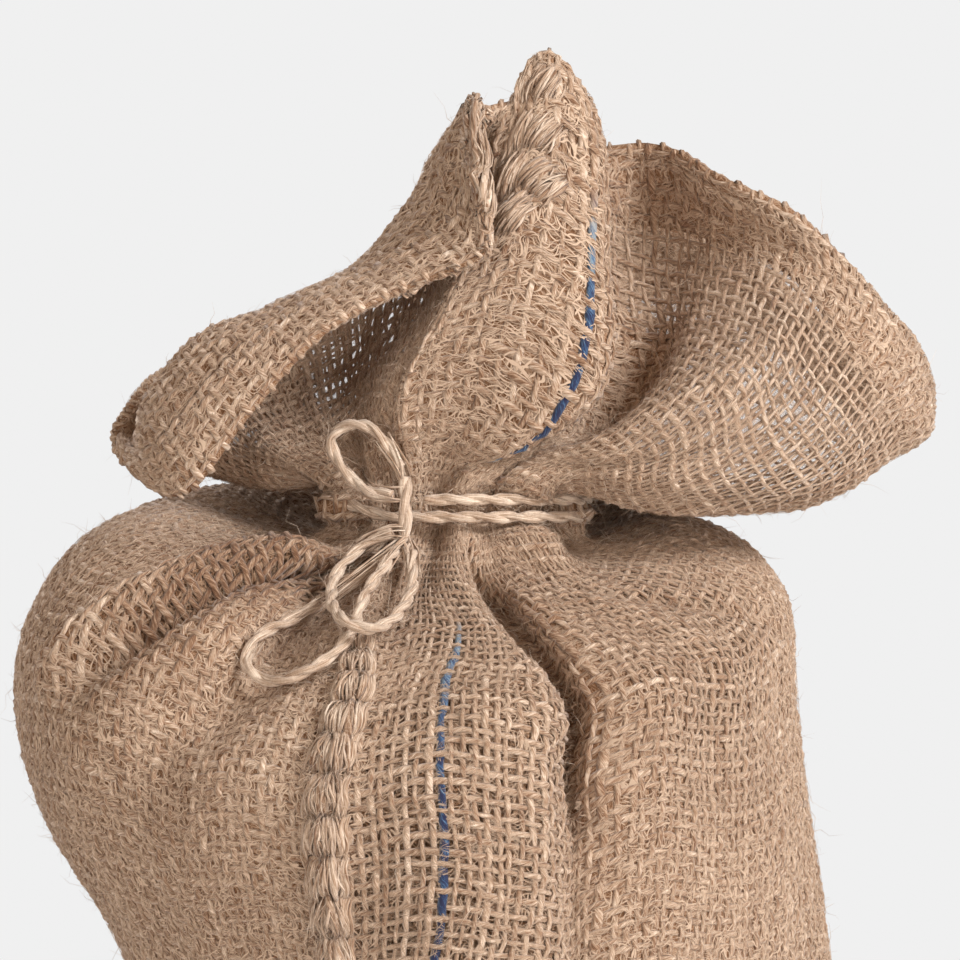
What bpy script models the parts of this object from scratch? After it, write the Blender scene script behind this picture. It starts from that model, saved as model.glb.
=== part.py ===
"""A hessian sack, tied at the neck with a jute twine bow: its cloth is one open tube with a flat bottom,
gathered into pleats at the tie and flaring above it into a drooping, hemmed mouth.
Metres, +Z up. The origin is under the middle of the base, and the front faces -Y."""

import math

import bpy
import numpy as np

MM = 0.001

# Driving dimensions, in millimetres
CLOTH_ROUND = 460.0  # the cloth's length round the sack: a flat width of 230
TIE_HEIGHT = 172.0  # the middle of the tie above the base
CLOTH_THICK = 1.6
NECK_THICK = 1.3  # pressed by the tie
HEM_THICK = 2.8  # two layers of cloth
HEM_WIDTH = 12.0
HEM_SLOPE = 4.0  # the length over which the hem's thickness fades into the cloth's
MOUTH_LENGTH = 84.0  # cloth above the tie
TWINE = 2.8  # the tie twine's diameter
KNOT_TWINE = 3.2  # its wrap, pulled flat and thick
BAND_SPACING = 6.5  # between the twine's points, round the neck
LOOP_SPACING = 5.6

# The neck, where the cloth is gathered
NECK_MIDDLE_X = 3.0
NECK_HALF_WIDTH = 21.5
NECK_HALF_DEPTH = 15.0
NECK_HALF_HEIGHT = 3.4
PLEATS = 11
PLEAT_DEPTH = 0.28  # the share of the neck's radius that a pleat runs in
PLEAT_SHIFT = 4.0  # how far pleats sit from even places, in millimetres of cloth
PLEAT_UNEVEN = 0.15  # how much their depths differ, as a share
SHIFT_WAVES = 3
UNEVEN_WAVES = 4

# The flat foot
FOOT_MIDDLE_X = 12.0
FOOT_SEAM = -25.0
FOOT_HALF_WIDTH = 54.0
FOOT_HALF_DEPTH = 47.0
FOOT_EDGE = 8.0  # how far in the flat starts to be level

# How far round the neck each place of the cloth sits.
# place: millimetres of cloth to the right of the seam; angle: degrees round the neck, 0 in front
NECK_TURNS = (
    # place, angle
    (-107.0, -84.0),
    (-45.0, -47.0),
    (0.0, -23.0),
    (46.0, 8.0),
    (90.0, 45.0),
    (138.0, 88.0),
    (236.0, 178.0),
)

# The body's rings, from the neck down. Millimetres, heights from the tie; angles in degrees.
# lean: rise for each millimetre to the right; tilt: rise for each millimetre to the back;
# fall: how far the front hangs below the sides; seam: the seam's place round the body;
# turn: 0 as on the neck, 1 as on the body; pleat: how much of the neck's pleats is left
BODY_RINGS = (
    # height, lean, tilt, fall, middle x, half width, half depth, seam, turn, pleat
    (-6.2, 0.00, 0.00, 1.0, 2.5, 25.5, 19.0, -16.0, 0.10, 0.90),
    (-5.4, -0.01, 0.12, 6.5, 0.5, 33.0, 25.0, -12.0, 0.40, 0.40),
    (-2.5, -0.03, 0.20, 13.6, -3.0, 49.0, 38.0, -10.0, 0.75, 0.10),
    (-9.0, -0.03, 0.13, 17.0, -4.0, 63.5, 50.0, -9.0, 0.95, 0.0),
    (-20.0, 0.00, 0.05, 16.0, -5.7, 70.5, 56.0, -9.0, 1.0, 0.0),
    (-34.0, 0.00, 0.02, 12.0, -6.4, 72.0, 59.0, -10.0, 1.0, 0.0),
    (-56.0, 0.00, 0.00, 5.0, -2.5, 71.0, 60.0, -13.5, 1.0, 0.0),
    (-80.0, 0.00, 0.00, 0.0, 6.5, 66.0, 59.0, -21.0, 1.0, 0.0),
    (-120.0, 0.00, 0.00, 0.0, 12.0, 61.0, 56.0, -25.0, 1.0, 0.0),
    (-162.0, 0.00, 0.00, 0.0, 12.0, 58.0, 52.0, -25.0, 1.0, 0.0),
)

# The mouth's fold lines, round the cloth. Each runs from the neck through these points to the rim.
# place: millimetres of cloth to the right of the seam; points: x, y, height above the tie
MOUTH_FOLDS = (
    # place, low, middle, crest, rim
    (0.0, (-7, -17, 18), (3, -18.5, 39), (10, -16, 59), (13, -14.5, 75)),
    (12.0, (3, -18.5, 16), (14, -23, 40), (18, -19, 64), (19.5, -14, 84)),
    (24.0, (14, -20.5, 11), (28, -23, 20), (30.5, -18, 48), (27, -12, 75)),
    (34.0, (17.5, -15, 12), (28, -11, 22), (29.5, -8, 46), (27.5, -4, 72)),
    (46.0, (21.5, -15, 12), (32, -4, 25), (34.5, 5, 47), (32, 5, 67)),
    (62.0, (28, -19, 13), (42, -15, 27), (48, 2, 45), (47, 1, 63)),
    (80.0, (35, -24, 9), (53, -26, 21), (64, -11, 40), (65, -8, 55)),
    (100.0, (37, -22, 2), (62, -27, 12), (77, -16, 30), (81.5, -9, 38)),
    (120.0, (42, -16, -0.5), (69, -21, 4.5), (84, -10, 19), (90.5, -2, 26)),
    (138.0, (46, -6, -0.6), (71, -7, 1.5), (86, 0, 11), (91, 9, 16)),
    (164.0, (43, 12, 1.5), (65, 22, 9), (77, 29, 20), (80, 30, 30)),
    (192.0, (32, 26, 7), (46, 41, 19), (54, 48, 36), (55, 47, 51)),
    (222.0, (13, 30, 9), (19, 47, 24), (22, 54, 42), (22, 50, 58)),
    (250.0, (-5, 28, 9), (-7, 44, 23), (-8, 49, 41), (-5, 41, 55)),
    (274.0, (-17, 24, 9), (-25, 38, 20), (-27, 41, 33), (-18, 33, 42)),
    (300.0, (-26, 18, 7), (-38, 29, 13), (-47, 27, 23), (-49, 18, 27)),
    (322.0, (-30, 11, 4.5), (-44, 20, 9), (-53, 17, 16), (-58, 7, 19)),
    (340.0, (-31, 4, 3.4), (-45, 11, 7), (-55, 6, 12), (-59, -7, 10)),
    (356.0, (-30, -3, 4.2), (-44, 4, 9.5), (-55, -5, 18), (-47, -23, 2)),
    (374.0, (-28, -7, 8.5), (-40, 2, 19), (-46, -8, 31), (-34, -27, 17)),
    (394.0, (-22, -5, 13), (-28, 6, 26), (-30, -4, 37), (-20, -26, 32)),
    (412.0, (-16, -6, 16), (-15, 5, 32), (-15, -4, 45), (-3, -26, 41)),
    (422.0, (-14, -8, 17), (-10, 1, 35), (-7, -6, 55), (8, -28.5, 46)),
    (434.0, (-12, -12, 18), (-5, -7, 37), (-1, -9, 66), (5.5, -26, 58)),
    (446.0, (-10, -15, 18), (-1, -14, 38), (4, -11, 70), (6.5, -22.5, 69)),
    (454.0, (-8, -16, 18), (1, -17.5, 39), (7.5, -14, 62), (10, -18, 74)),
)

# Folds laid over the body. They start at one place of the cloth under the neck and end at another below.
# heights: out of the cloth's surface, on the shoulder, on the upper side, at the middle and lower down
BODY_FOLDS = (
    # top place, low place, half width, shoulder, upper side, middle, lower
    (24.0, 24.0, 15.0, 2.0, 5.0, 6.0, 4.0),
    (45.0, 47.0, 6.0, -4.0, -9.0, -7.0, -3.0),
    (60.0, 64.0, 9.0, 2.0, 3.0, 1.5, 0.0),
    (95.0, 95.0, 16.0, -1.0, -1.0, 0.0, 0.0),
    (-40.0, -70.0, 11.0, 5.0, 4.0, 0.0, 0.0),
    (-20.0, -45.0, 9.0, -5.0, -6.0, -1.0, 0.0),
    (150.0, 146.0, 13.0, 0.0, 3.0, -2.0, -2.0),
    (186.0, 180.0, 11.0, -1.0, -4.0, -2.0, 0.0),
    (222.0, 228.0, 14.0, 0.0, 3.0, 2.0, 1.0),
    (262.0, 256.0, 11.0, -1.0, -5.0, -3.0, -1.0),
    (300.0, 306.0, 15.0, 0.0, 3.0, 3.0, 1.0),
)

# The twine's routes, from the knot out. Millimetres: x, y, height above the tie's middle.
TWINE_ROUTES = {
    "tie_knot": (
        (-6.2, -18.8, 5.6),
        (-6.2, -19.8, 3.4),
        (-6.2, -20.6, 0.8),
        (-6.2, -20.6, -1.6),
        (-6.2, -20.4, -4.0),
        (-6.2, -20.4, -6.0),
    ),
    "bow_loop_up": (
        (-8.4, -20.2, 2.5),
        (-12.4, -18.2, 3.0),
        (-16.6, -16.2, 6.1),
        (-19.2, -15.0, 9.8),
        (-19.7, -14.5, 13.0),
        (-17.3, -15.0, 15.0),
        (-14.1, -16.4, 15.3),
        (-10.9, -18.2, 13.3),
        (-8.8, -19.0, 10.6),
        (-6.8, -18.9, 7.5),
    ),
    "bow_loop_down": (
        (-8.4, -20.6, -4.3),
        (-12.2, -19.9, -5.8),
        (-16.3, -22.0, -8.9),
        (-18.8, -26.4, -12.3),
        (-19.3, -32.0, -15.4),
        (-18.4, -40.6, -18.0),
        (-15.2, -47.6, -20.4),
        (-12.2, -48.4, -21.2),
        (-9.2, -44.6, -20.3),
        (-6.4, -37.8, -17.5),
        (-4.7, -31.2, -14.0),
        (-4.8, -26.2, -10.8),
        (-4.9, -22.8, -8.2),
    ),
    "bow_loop_left": (
        (-8.2, -22.6, -7.8),
        (-10.0, -27.6, -10.6),
        (-12.3, -32.6, -14.0),
        (-14.0, -38.8, -17.6),
        (-15.0, -42.6, -21.2),
        (-16.9, -46.2, -24.0),
        (-19.5, -48.0, -26.4),
        (-24.6, -49.8, -29.2),
        (-31.0, -45.6, -30.2),
        (-34.2, -43.0, -27.2),
        (-32.9, -40.4, -23.7),
        (-26.9, -34.2, -20.1),
        (-21.8, -29.6, -17.3),
    ),
}

# The tie goes twice round the neck. Degrees round it from the knot.
KNOT_ANGLE = -22.6
BAND_START = 9.0
BAND_DROP_START = 316.0  # the first turn's end drops to the second turn's height
BAND_DROP_END = 358.0
BAND_END = 674.0
BAND_HALF_PITCH = 1.6
BAND_SLACK_WIDTH = 0.75  # between the neck and the twine, at the sides
BAND_SLACK_DEPTH = 0.5

COLUMNS_PER_FOLD = 4
MOUTH_ROWS = 12
CURVE_STEPS = 200  # points that a smooth curve is measured with
CURL = 0.25  # the mouth's bulge towards its rim, as a share of its distance from the fold's middle
FOLD_TOP = -4.0  # heights from the tie between which a body fold moves across the cloth
FOLD_LOW = -60.0
FOLD_LEVELS = (0, 1.5, 4, 6, 9)  # the rings, from the neck down, that a body fold's heights are given for
SEAM_RIDGE = 1.6  # how far the side seam stands out
SEAM_HALF_WIDTH = 3.0
SEAM_AT_NECK = 0.2  # how much of the ridge is left under the tie


def curve_through(knots, points, at):
    """Points on the smooth curve through the given points, which has a knot for each.
    Each stretch is a cubic whose slopes come from its neighbours."""
    knots = np.asarray(knots, float)
    points = np.asarray(points, float)
    gaps = np.diff(knots)
    shape = (-1,) + (1,) * (points.ndim - 1)
    slopes = np.diff(points, axis=0) / gaps.reshape(shape)
    before = np.concatenate([slopes[:1], slopes])
    after = np.concatenate([slopes, slopes[-1:]])
    gap_before = np.concatenate([gaps[:1], gaps]).reshape(shape)
    gap_after = np.concatenate([gaps, gaps[-1:]]).reshape(shape)
    tangents = (before * gap_after + after * gap_before) / (gap_before + gap_after)
    at = np.asarray(at, float)
    k = np.clip(np.searchsorted(knots, at, side="right") - 1, 0, len(gaps) - 1)
    step = gaps[k].reshape(shape)
    t = ((at - knots[k]) / gaps[k]).reshape(shape)
    a = 2 * t**3 - 3 * t**2 + 1
    b = t**3 - 2 * t**2 + t
    c = 3 * t**2 - 2 * t**3
    d = t**3 - t**2
    return a * points[k] + b * step * tangents[k] + c * points[k + 1] + d * step * tangents[k + 1]


def round_the_cloth(places, values, at):
    """Values at these places of the cloth, from a table that closes on itself round the sack."""
    places = np.asarray(places, float)
    values = np.asarray(values, float)
    knots = np.concatenate([places[-3:] - CLOTH_ROUND, places, places[:3] + CLOTH_ROUND])
    repeated = np.concatenate([values[-3:], values, values[:3]])
    return curve_through(knots, repeated, at)


def neck_angles(places):
    """The angle round the neck, in radians, for each place of the cloth."""
    table = np.array(NECK_TURNS)
    knots = np.concatenate([table[-2:, 0] - CLOTH_ROUND, table[:, 0], table[:2, 0] + CLOTH_ROUND])
    angles = np.concatenate([table[-2:, 1] - 360, table[:, 1], table[:2, 1] + 360])
    first = table[0, 0]
    wrapped = (places - first) % CLOTH_ROUND + first
    turns = np.floor((places - first) / CLOTH_ROUND)
    return np.radians(curve_through(knots, angles, wrapped) + 360 * turns)


def pleat_reach(places, amount):
    """1 on a pleat's ridge and less in its valley. The pleats are a little uneven."""
    shifted = places + PLEAT_SHIFT * np.sin(2 * math.pi * SHIFT_WAVES * places / CLOTH_ROUND)
    wave = 0.5 - 0.5 * np.cos(2 * math.pi * PLEATS * shifted / CLOTH_ROUND)
    uneven = 1 + PLEAT_UNEVEN * np.sin(2 * math.pi * UNEVEN_WAVES * places / CLOTH_ROUND + 1.0)
    return 1 - amount * PLEAT_DEPTH * uneven * wave


def ring(places, height, lean, tilt, fall, middle_x, half_width, half_depth, seam, turn, pleat):
    body_angles = np.radians(seam + 360 * places / CLOTH_ROUND)
    angles = (1 - turn) * neck_angles(places) + turn * body_angles
    reach = pleat_reach(places, pleat)
    x = half_width * reach * np.sin(angles)
    y = -half_depth * reach * np.cos(angles)
    front = np.maximum(np.cos(angles), 0) ** 1.5
    heights = TIE_HEIGHT + height + lean * x + tilt * y - fall * front
    return np.stack([middle_x + x, y, heights], axis=-1)


def neck_ring(places, height):
    return ring(places, height, 0, 0, 0, NECK_MIDDLE_X, NECK_HALF_WIDTH, NECK_HALF_DEPTH, 0, 0, 1)


def foot_ring(places, half_width, half_depth):
    height = CLOTH_THICK / 2 - TIE_HEIGHT
    return ring(places, height, 0, 0, 0, FOOT_MIDDLE_X, half_width, half_depth, FOOT_SEAM, 1, 0)


def mouth_lines(places):
    """The mouth's surface as lines from the neck to the rim, one for each place of the cloth.
    On each fold line the last stretch bulges away from the middle, as curling cloth does.
    The lines' points are evenly spaced along them."""
    starts = neck_ring(np.array([row[0] for row in MOUTH_FOLDS]), NECK_HALF_HEIGHT)
    below = neck_ring(np.array([row[0] for row in MOUTH_FOLDS]), 0)
    share = np.linspace(0, 1, MOUTH_ROWS + 1)
    fine = np.linspace(0, 1, CURVE_STEPS)
    lines = []
    for start, under, row in zip(starts, below, MOUTH_FOLDS):
        low, middle, crest, rim = (
            np.array(point, float) + (0, 0, TIE_HEIGHT) for point in row[1:]
        )
        along = (rim - crest) / np.linalg.norm(rim - crest)
        away = (crest + rim) / 2 - middle
        away -= along * (away @ along)
        fall = (crest + rim) / 2 + CURL * away
        points = np.stack([under, start, low, middle, crest, fall, rim])
        knots = np.concatenate([[0], np.cumsum(np.linalg.norm(np.diff(points, axis=0), axis=1))])
        knots -= knots[1]
        path = curve_through(knots, points, fine * knots[-1])
        run = np.concatenate([[0], np.cumsum(np.linalg.norm(np.diff(path, axis=0), axis=1))])
        lines.append(
            np.stack([np.interp(share * run[-1], run, path[:, axis]) for axis in range(3)], axis=-1)
        )
    table_places = [row[0] for row in MOUTH_FOLDS]
    return round_the_cloth(table_places, np.stack(lines), places)


def surface_normals(grid):
    """Outward normals of a grid of points that closes on itself along its first axis."""
    wrapped = np.concatenate([grid[-1:], grid, grid[:1]])
    round_way = wrapped[2:] - wrapped[:-2]
    up_way = np.gradient(grid, axis=1)
    normals = np.cross(round_way, up_way)
    return normals / np.maximum(np.linalg.norm(normals, axis=-1, keepdims=True), 1e-9)


def bump(distance, half_width):
    return np.exp(-((distance / half_width) ** 2))


def apart(places, place):
    """How far each place of the cloth is from this one, the short way round."""
    return (places - place + CLOTH_ROUND / 2) % CLOTH_ROUND - CLOTH_ROUND / 2


def cloth_grid():
    """The middle of the cloth's thickness, as a grid: places round the sack, then rows up it."""
    table_places = np.array([row[0] for row in MOUTH_FOLDS] + [CLOTH_ROUND])
    places = np.concatenate(
        [
            np.linspace(start, end, COLUMNS_PER_FOLD, endpoint=False)
            for start, end in zip(table_places[:-1], table_places[1:])
        ]
    )
    rings = [ring(places, *row) for row in reversed(BODY_RINGS)]
    rings.append(neck_ring(places, -NECK_HALF_HEIGHT))
    rings.append(neck_ring(places, 0))
    body = np.stack(rings, axis=1)
    mouth = mouth_lines(places)
    grid = np.concatenate([body, mouth], axis=1)

    normals = surface_normals(grid)
    rows = len(BODY_RINGS)
    depth = np.array([row[0] for row in reversed(BODY_RINGS)])
    level = np.arange(rows)[::-1]  # 0 is the ring next to the neck
    for top, low, width, shoulder, upper, middle, lower in BODY_FOLDS:
        heights = np.interp(level, (*FOLD_LEVELS, rows), (0, shoulder, upper, middle, lower, 0))
        centre = np.interp(depth, (FOLD_LOW, FOLD_TOP), (low, top))
        profile = bump(apart(places[:, None], centre[None, :]), width)
        grid[:, :rows] += (profile * heights)[..., None] * normals[:, :rows]
    seam = bump(apart(places, 0.0), SEAM_HALF_WIDTH)[:, None] * np.ones(grid.shape[1])
    seam[:, rows - 1 : rows + 4] *= SEAM_AT_NECK
    seam[:, 0] = 0
    grid += (SEAM_RIDGE * seam)[..., None] * normals
    return places, grid


def make_cloth():
    places, grid = cloth_grid()
    half = CLOTH_THICK / 2
    foot = foot_ring(places, FOOT_HALF_WIDTH, FOOT_HALF_DEPTH)
    inner_foot = foot_ring(places, FOOT_HALF_WIDTH - FOOT_EDGE, FOOT_HALF_DEPTH - FOOT_EDGE)
    grid = np.concatenate([inner_foot[:, None], foot[:, None], grid], axis=1)
    columns, rows = grid.shape[:2]
    vertices = list(grid.reshape(-1, 3) * MM)
    middle = len(vertices)
    vertices.append((FOOT_MIDDLE_X * MM, 0.0, half * MM))
    faces = []
    for i in range(columns):
        j = (i + 1) % columns
        faces.append((middle, j * rows, i * rows))
        for k in range(rows - 1):
            faces.append((i * rows + k, j * rows + k, j * rows + k + 1, i * rows + k + 1))
    mesh = bpy.data.meshes.new("sack_cloth")
    mesh.from_pydata([tuple(v) for v in vertices], [], faces)
    sack = bpy.data.objects.new("sack_cloth", mesh)

    from_rim = (rows - 1 - np.arange(rows)) * MOUTH_LENGTH / MOUTH_ROWS
    hem = np.clip((HEM_WIDTH - from_rim) / HEM_SLOPE + 0.5, 0, 1)
    thickness = CLOTH_THICK + (HEM_THICK - CLOTH_THICK) * hem
    neck = rows - MOUTH_ROWS - 2
    thickness[neck - 2 : neck + 3] = NECK_THICK
    weights = thickness / HEM_THICK
    group = sack.vertex_groups.new(name="thickness")
    for k in range(rows):
        group.add([i * rows + k for i in range(columns)], float(weights[k]), "REPLACE")
    group.add([middle], float(weights[0]), "REPLACE")
    solidify = sack.modifiers.new("thickness", "SOLIDIFY")
    solidify.thickness = HEM_THICK * MM
    solidify.offset = 0
    solidify.vertex_group = "thickness"
    solidify.use_quality_normals = True
    triangulate = sack.modifiers.new("triangles", "TRIANGULATE")
    triangulate.quad_method = "SHORTEST_DIAGONAL"
    return sack


def evenly_along(points, spacing):
    """Points about this far apart on the smooth curve through the given points."""
    points = np.asarray(points, float)
    knots = np.concatenate([[0], np.cumsum(np.linalg.norm(np.diff(points, axis=0), axis=1))])
    path = curve_through(knots, points, np.linspace(0, knots[-1], 2 * CURVE_STEPS))
    run = np.concatenate([[0], np.cumsum(np.linalg.norm(np.diff(path, axis=0), axis=1))])
    share = np.linspace(0, run[-1], max(4, round(run[-1] / spacing) + 1))
    return np.stack([np.interp(share, run, path[:, axis]) for axis in range(3)], axis=-1)


def band_route():
    """The tie's two turns round the neck, from one side of the knot to near its other side."""
    turn = np.linspace(BAND_START, BAND_END, 120)
    drop = np.clip((turn - BAND_DROP_START) / (BAND_DROP_END - BAND_DROP_START), 0, 1)
    height = BAND_HALF_PITCH - 2 * BAND_HALF_PITCH * drop**2 * (3 - 2 * drop)
    angle = np.radians(KNOT_ANGLE + turn)
    outward = NECK_THICK / 2 + TWINE / 2
    half_width = NECK_HALF_WIDTH + outward + BAND_SLACK_WIDTH
    half_depth = NECK_HALF_DEPTH + outward + BAND_SLACK_DEPTH
    x = NECK_MIDDLE_X + half_width * np.sin(angle)
    return np.stack([x, -half_depth * np.cos(angle), height], axis=-1)


def make_twine(name, points, spacing, thickness):
    path = evenly_along(points, spacing) + (0, 0, TIE_HEIGHT)
    curve = bpy.data.curves.new(name, "CURVE")
    curve.dimensions = "3D"
    curve.bevel_depth = thickness / 2 * MM
    curve.bevel_resolution = 2
    curve.use_fill_caps = True
    spline = curve.splines.new("POLY")
    spline.points.add(len(path) - 1)
    for place, point in zip(path * MM, spline.points):
        point.co = (*place, 1)
    return bpy.data.objects.new(name, curve)


def make_material(name, colour, roughness):
    material = bpy.data.materials.new(name)
    material.use_nodes = True
    shader = material.node_tree.nodes["Principled BSDF"]
    shader.inputs["Base Color"].default_value = (*colour, 1)
    shader.inputs["Roughness"].default_value = roughness
    return material


def main():
    for old in list(bpy.data.objects):
        bpy.data.objects.remove(old)
    collection = bpy.data.collections.new("hessian_sack")
    bpy.context.scene.collection.children.link(collection)
    hessian = make_material("hessian", (0.42, 0.29, 0.17), 0.95)
    sack = make_cloth()
    sack.data.materials.append(hessian)
    sack.data.shade_smooth()
    collection.objects.link(sack)

    jute = make_material("jute_twine", (0.62, 0.50, 0.33), 0.9)
    band = make_twine("tie_band", band_route(), BAND_SPACING, TWINE)
    twines = [band]
    for name, route in TWINE_ROUTES.items():
        thickness = KNOT_TWINE if name == "tie_knot" else TWINE
        twines.append(make_twine(name, route, LOOP_SPACING, thickness))
    for twine in twines:
        twine.data.materials.append(jute)
        collection.objects.link(twine)


main()
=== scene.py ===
import math

import bpy
import numpy as np
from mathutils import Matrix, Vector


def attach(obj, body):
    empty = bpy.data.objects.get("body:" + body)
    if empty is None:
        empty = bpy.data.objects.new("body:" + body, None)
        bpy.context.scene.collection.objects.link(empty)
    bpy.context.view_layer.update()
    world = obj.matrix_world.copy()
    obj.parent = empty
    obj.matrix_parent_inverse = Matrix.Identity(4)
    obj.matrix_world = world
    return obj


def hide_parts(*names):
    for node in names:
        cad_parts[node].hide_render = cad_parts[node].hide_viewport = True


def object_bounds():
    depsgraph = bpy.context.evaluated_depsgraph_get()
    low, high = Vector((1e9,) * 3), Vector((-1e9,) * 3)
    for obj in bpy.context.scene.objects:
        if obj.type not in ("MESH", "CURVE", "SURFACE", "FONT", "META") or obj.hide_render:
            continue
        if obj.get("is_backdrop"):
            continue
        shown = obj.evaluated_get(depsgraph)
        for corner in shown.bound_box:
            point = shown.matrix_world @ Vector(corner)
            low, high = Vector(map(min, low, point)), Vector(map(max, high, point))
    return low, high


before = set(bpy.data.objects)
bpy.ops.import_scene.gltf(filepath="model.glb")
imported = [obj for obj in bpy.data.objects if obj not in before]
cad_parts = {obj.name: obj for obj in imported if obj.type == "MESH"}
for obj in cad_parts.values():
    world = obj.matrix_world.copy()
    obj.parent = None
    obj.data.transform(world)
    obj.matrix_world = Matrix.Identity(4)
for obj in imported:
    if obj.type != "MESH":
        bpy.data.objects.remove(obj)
cadBox = [list(map(float, corner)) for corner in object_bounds()]
mm = 0.001
chance = np.random.default_rng(12)


# Camera, light and floor

view = {"x": 7.44, "height": 177.2, "away": 1000.0, "frameWidth": 178.56, "sensor": 36.0}  # mm

camera = bpy.data.objects.new("camera", bpy.data.cameras.new("camera"))
camera.data.sensor_width = view["sensor"]
camera.data.lens = view["sensor"] * view["away"] / view["frameWidth"]
camera.data.clip_end = 10.0
camera.location = (view["x"] * mm, -view["away"] * mm, view["height"] * mm)
camera.rotation_euler = (math.radians(90), 0, 0)
bpy.context.collection.objects.link(camera)
bpy.context.scene.camera = camera

# name: place, aim, size across, watts, colour
lamps = {
    "keyLight": ((0.95, -0.75, 0.85), (0.0, 0.0, 0.15), 0.45, 17.8, (0.985, 0.99, 1.0)),
    "backLight": ((-0.5, 1.1, 0.9), (0.0, 0.0, 0.13), 0.7, 11.0, (1.0, 0.99, 0.98)),
    "fillLight": ((-0.7, -1.1, 0.45), (0.0, 0.0, 0.15), 0.8, 4.0, (1.0, 0.96, 0.92)),
    "lowLight": ((0.75, -1.15, 0.06), (0.0, 0.0, 0.19), 0.6, 5.5, (1.0, 0.96, 0.92)),
}
for name, (place, aim, across, watts, colour) in lamps.items():
    light = bpy.data.lights.new(name, "AREA")
    light.shape, light.size, light.energy, light.color = "DISK", across, watts, colour
    lamp = bpy.data.objects.new(name, light)
    lamp.location = place
    direction = np.array(aim) - np.array(place)
    lamp.rotation_euler = (
        math.atan2(math.hypot(direction[0], direction[1]), -direction[2]),
        0,
        math.atan2(direction[1], direction[0]) - math.pi / 2,
    )
    bpy.context.collection.objects.link(lamp)

# What the camera sees behind the sack, and what lights it from all round
roomLight = {"seen": (0.871, 0.871, 0.871), "lit": (0.34, 0.275, 0.22)}
world = bpy.data.worlds.new("room")
bpy.context.scene.world = world
world.use_nodes = True
roomNodes, roomLinks = world.node_tree.nodes, world.node_tree.links
background = roomNodes["Background"]
rays = roomNodes.new("ShaderNodeLightPath")
tints = roomNodes.new("ShaderNodeMix")
tints.data_type = "RGBA"  # its colours are sockets 6 and 7, and the mixed one is output 2
tints.inputs[6].default_value = (*roomLight["lit"], 1)
tints.inputs[7].default_value = (*roomLight["seen"], 1)
roomLinks.new(rays.outputs["Is Camera Ray"], tints.inputs[0])
roomLinks.new(tints.outputs[2], background.inputs["Color"])
bpy.context.scene.view_settings.view_transform = "Standard"


# Helpers: curves, meshes and shaders

noFace = np.zeros((0, 3), int)


def aboveFloor(height):  # the least x, y and z of a point that stays this many mm over the floor
    return -np.inf, -np.inf, height


# Smooth curve through points with a knot each: on every stretch the cubic
# a*p0 + b*m0 + c*p1 + d*m1, whose slopes m are the gap-weighted means of the neighbouring slopes.
def curveThrough(knots, points, at):
    knots, points, at = (np.asarray(values, float) for values in (knots, points, at))
    gaps = np.diff(knots)
    shape = (-1,) + (1,) * (points.ndim - 1)
    slopes = np.diff(points, axis=0) / gaps.reshape(shape)
    before = np.concatenate([slopes[:1], slopes])
    after = np.concatenate([slopes, slopes[-1:]])
    gapBefore = np.concatenate([gaps[:1], gaps]).reshape(shape)
    gapAfter = np.concatenate([gaps, gaps[-1:]]).reshape(shape)
    tangents = (before * gapAfter + after * gapBefore) / (gapBefore + gapAfter)
    k = np.clip(np.searchsorted(knots, at, side="right") - 1, 0, len(gaps) - 1)
    step = gaps[k].reshape(shape)
    t = ((at - knots[k]) / gaps[k]).reshape(shape)
    a, b = 2 * t**3 - 3 * t**2 + 1, t**3 - 2 * t**2 + t
    c, d = 3 * t**2 - 2 * t**3, t**3 - t**2
    return a * points[k] + b * step * tangents[k] + c * points[k + 1] + d * step * tangents[k + 1]


def unit(vectors):  # each vector over its own length
    return vectors / np.maximum(np.linalg.norm(vectors, axis=-1, keepdims=True), 1e-9)


def lengthsAlong(path):  # running length of one path, or of many at once: points on the last but one axis
    steps = np.linalg.norm(np.diff(path, axis=-2), axis=-1)
    return np.concatenate([np.zeros(steps.shape[:-1] + (1,)), np.cumsum(steps, axis=-1)], axis=-1)


def pointsAt(path, at):  # points at these lengths along a path, straight between its own points
    run = lengthsAlong(path)
    return np.stack([np.interp(at, run, values) for values in path.T], axis=-1)


# Slow random waves over a number line: sines of random length and phase, one row for each line
def wander(lines, at, wavelengths, amount):
    total = np.zeros((lines, len(at)))
    for wavelength in wavelengths:
        phase = chance.uniform(0, 2 * math.pi, (lines, 1))
        longer = chance.uniform(0.8, 1.25, (lines, 1))
        total += np.sin(2 * math.pi * at[None, :] / (wavelength * longer) + phase)
    return amount * total / math.sqrt(len(wavelengths))


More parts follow.
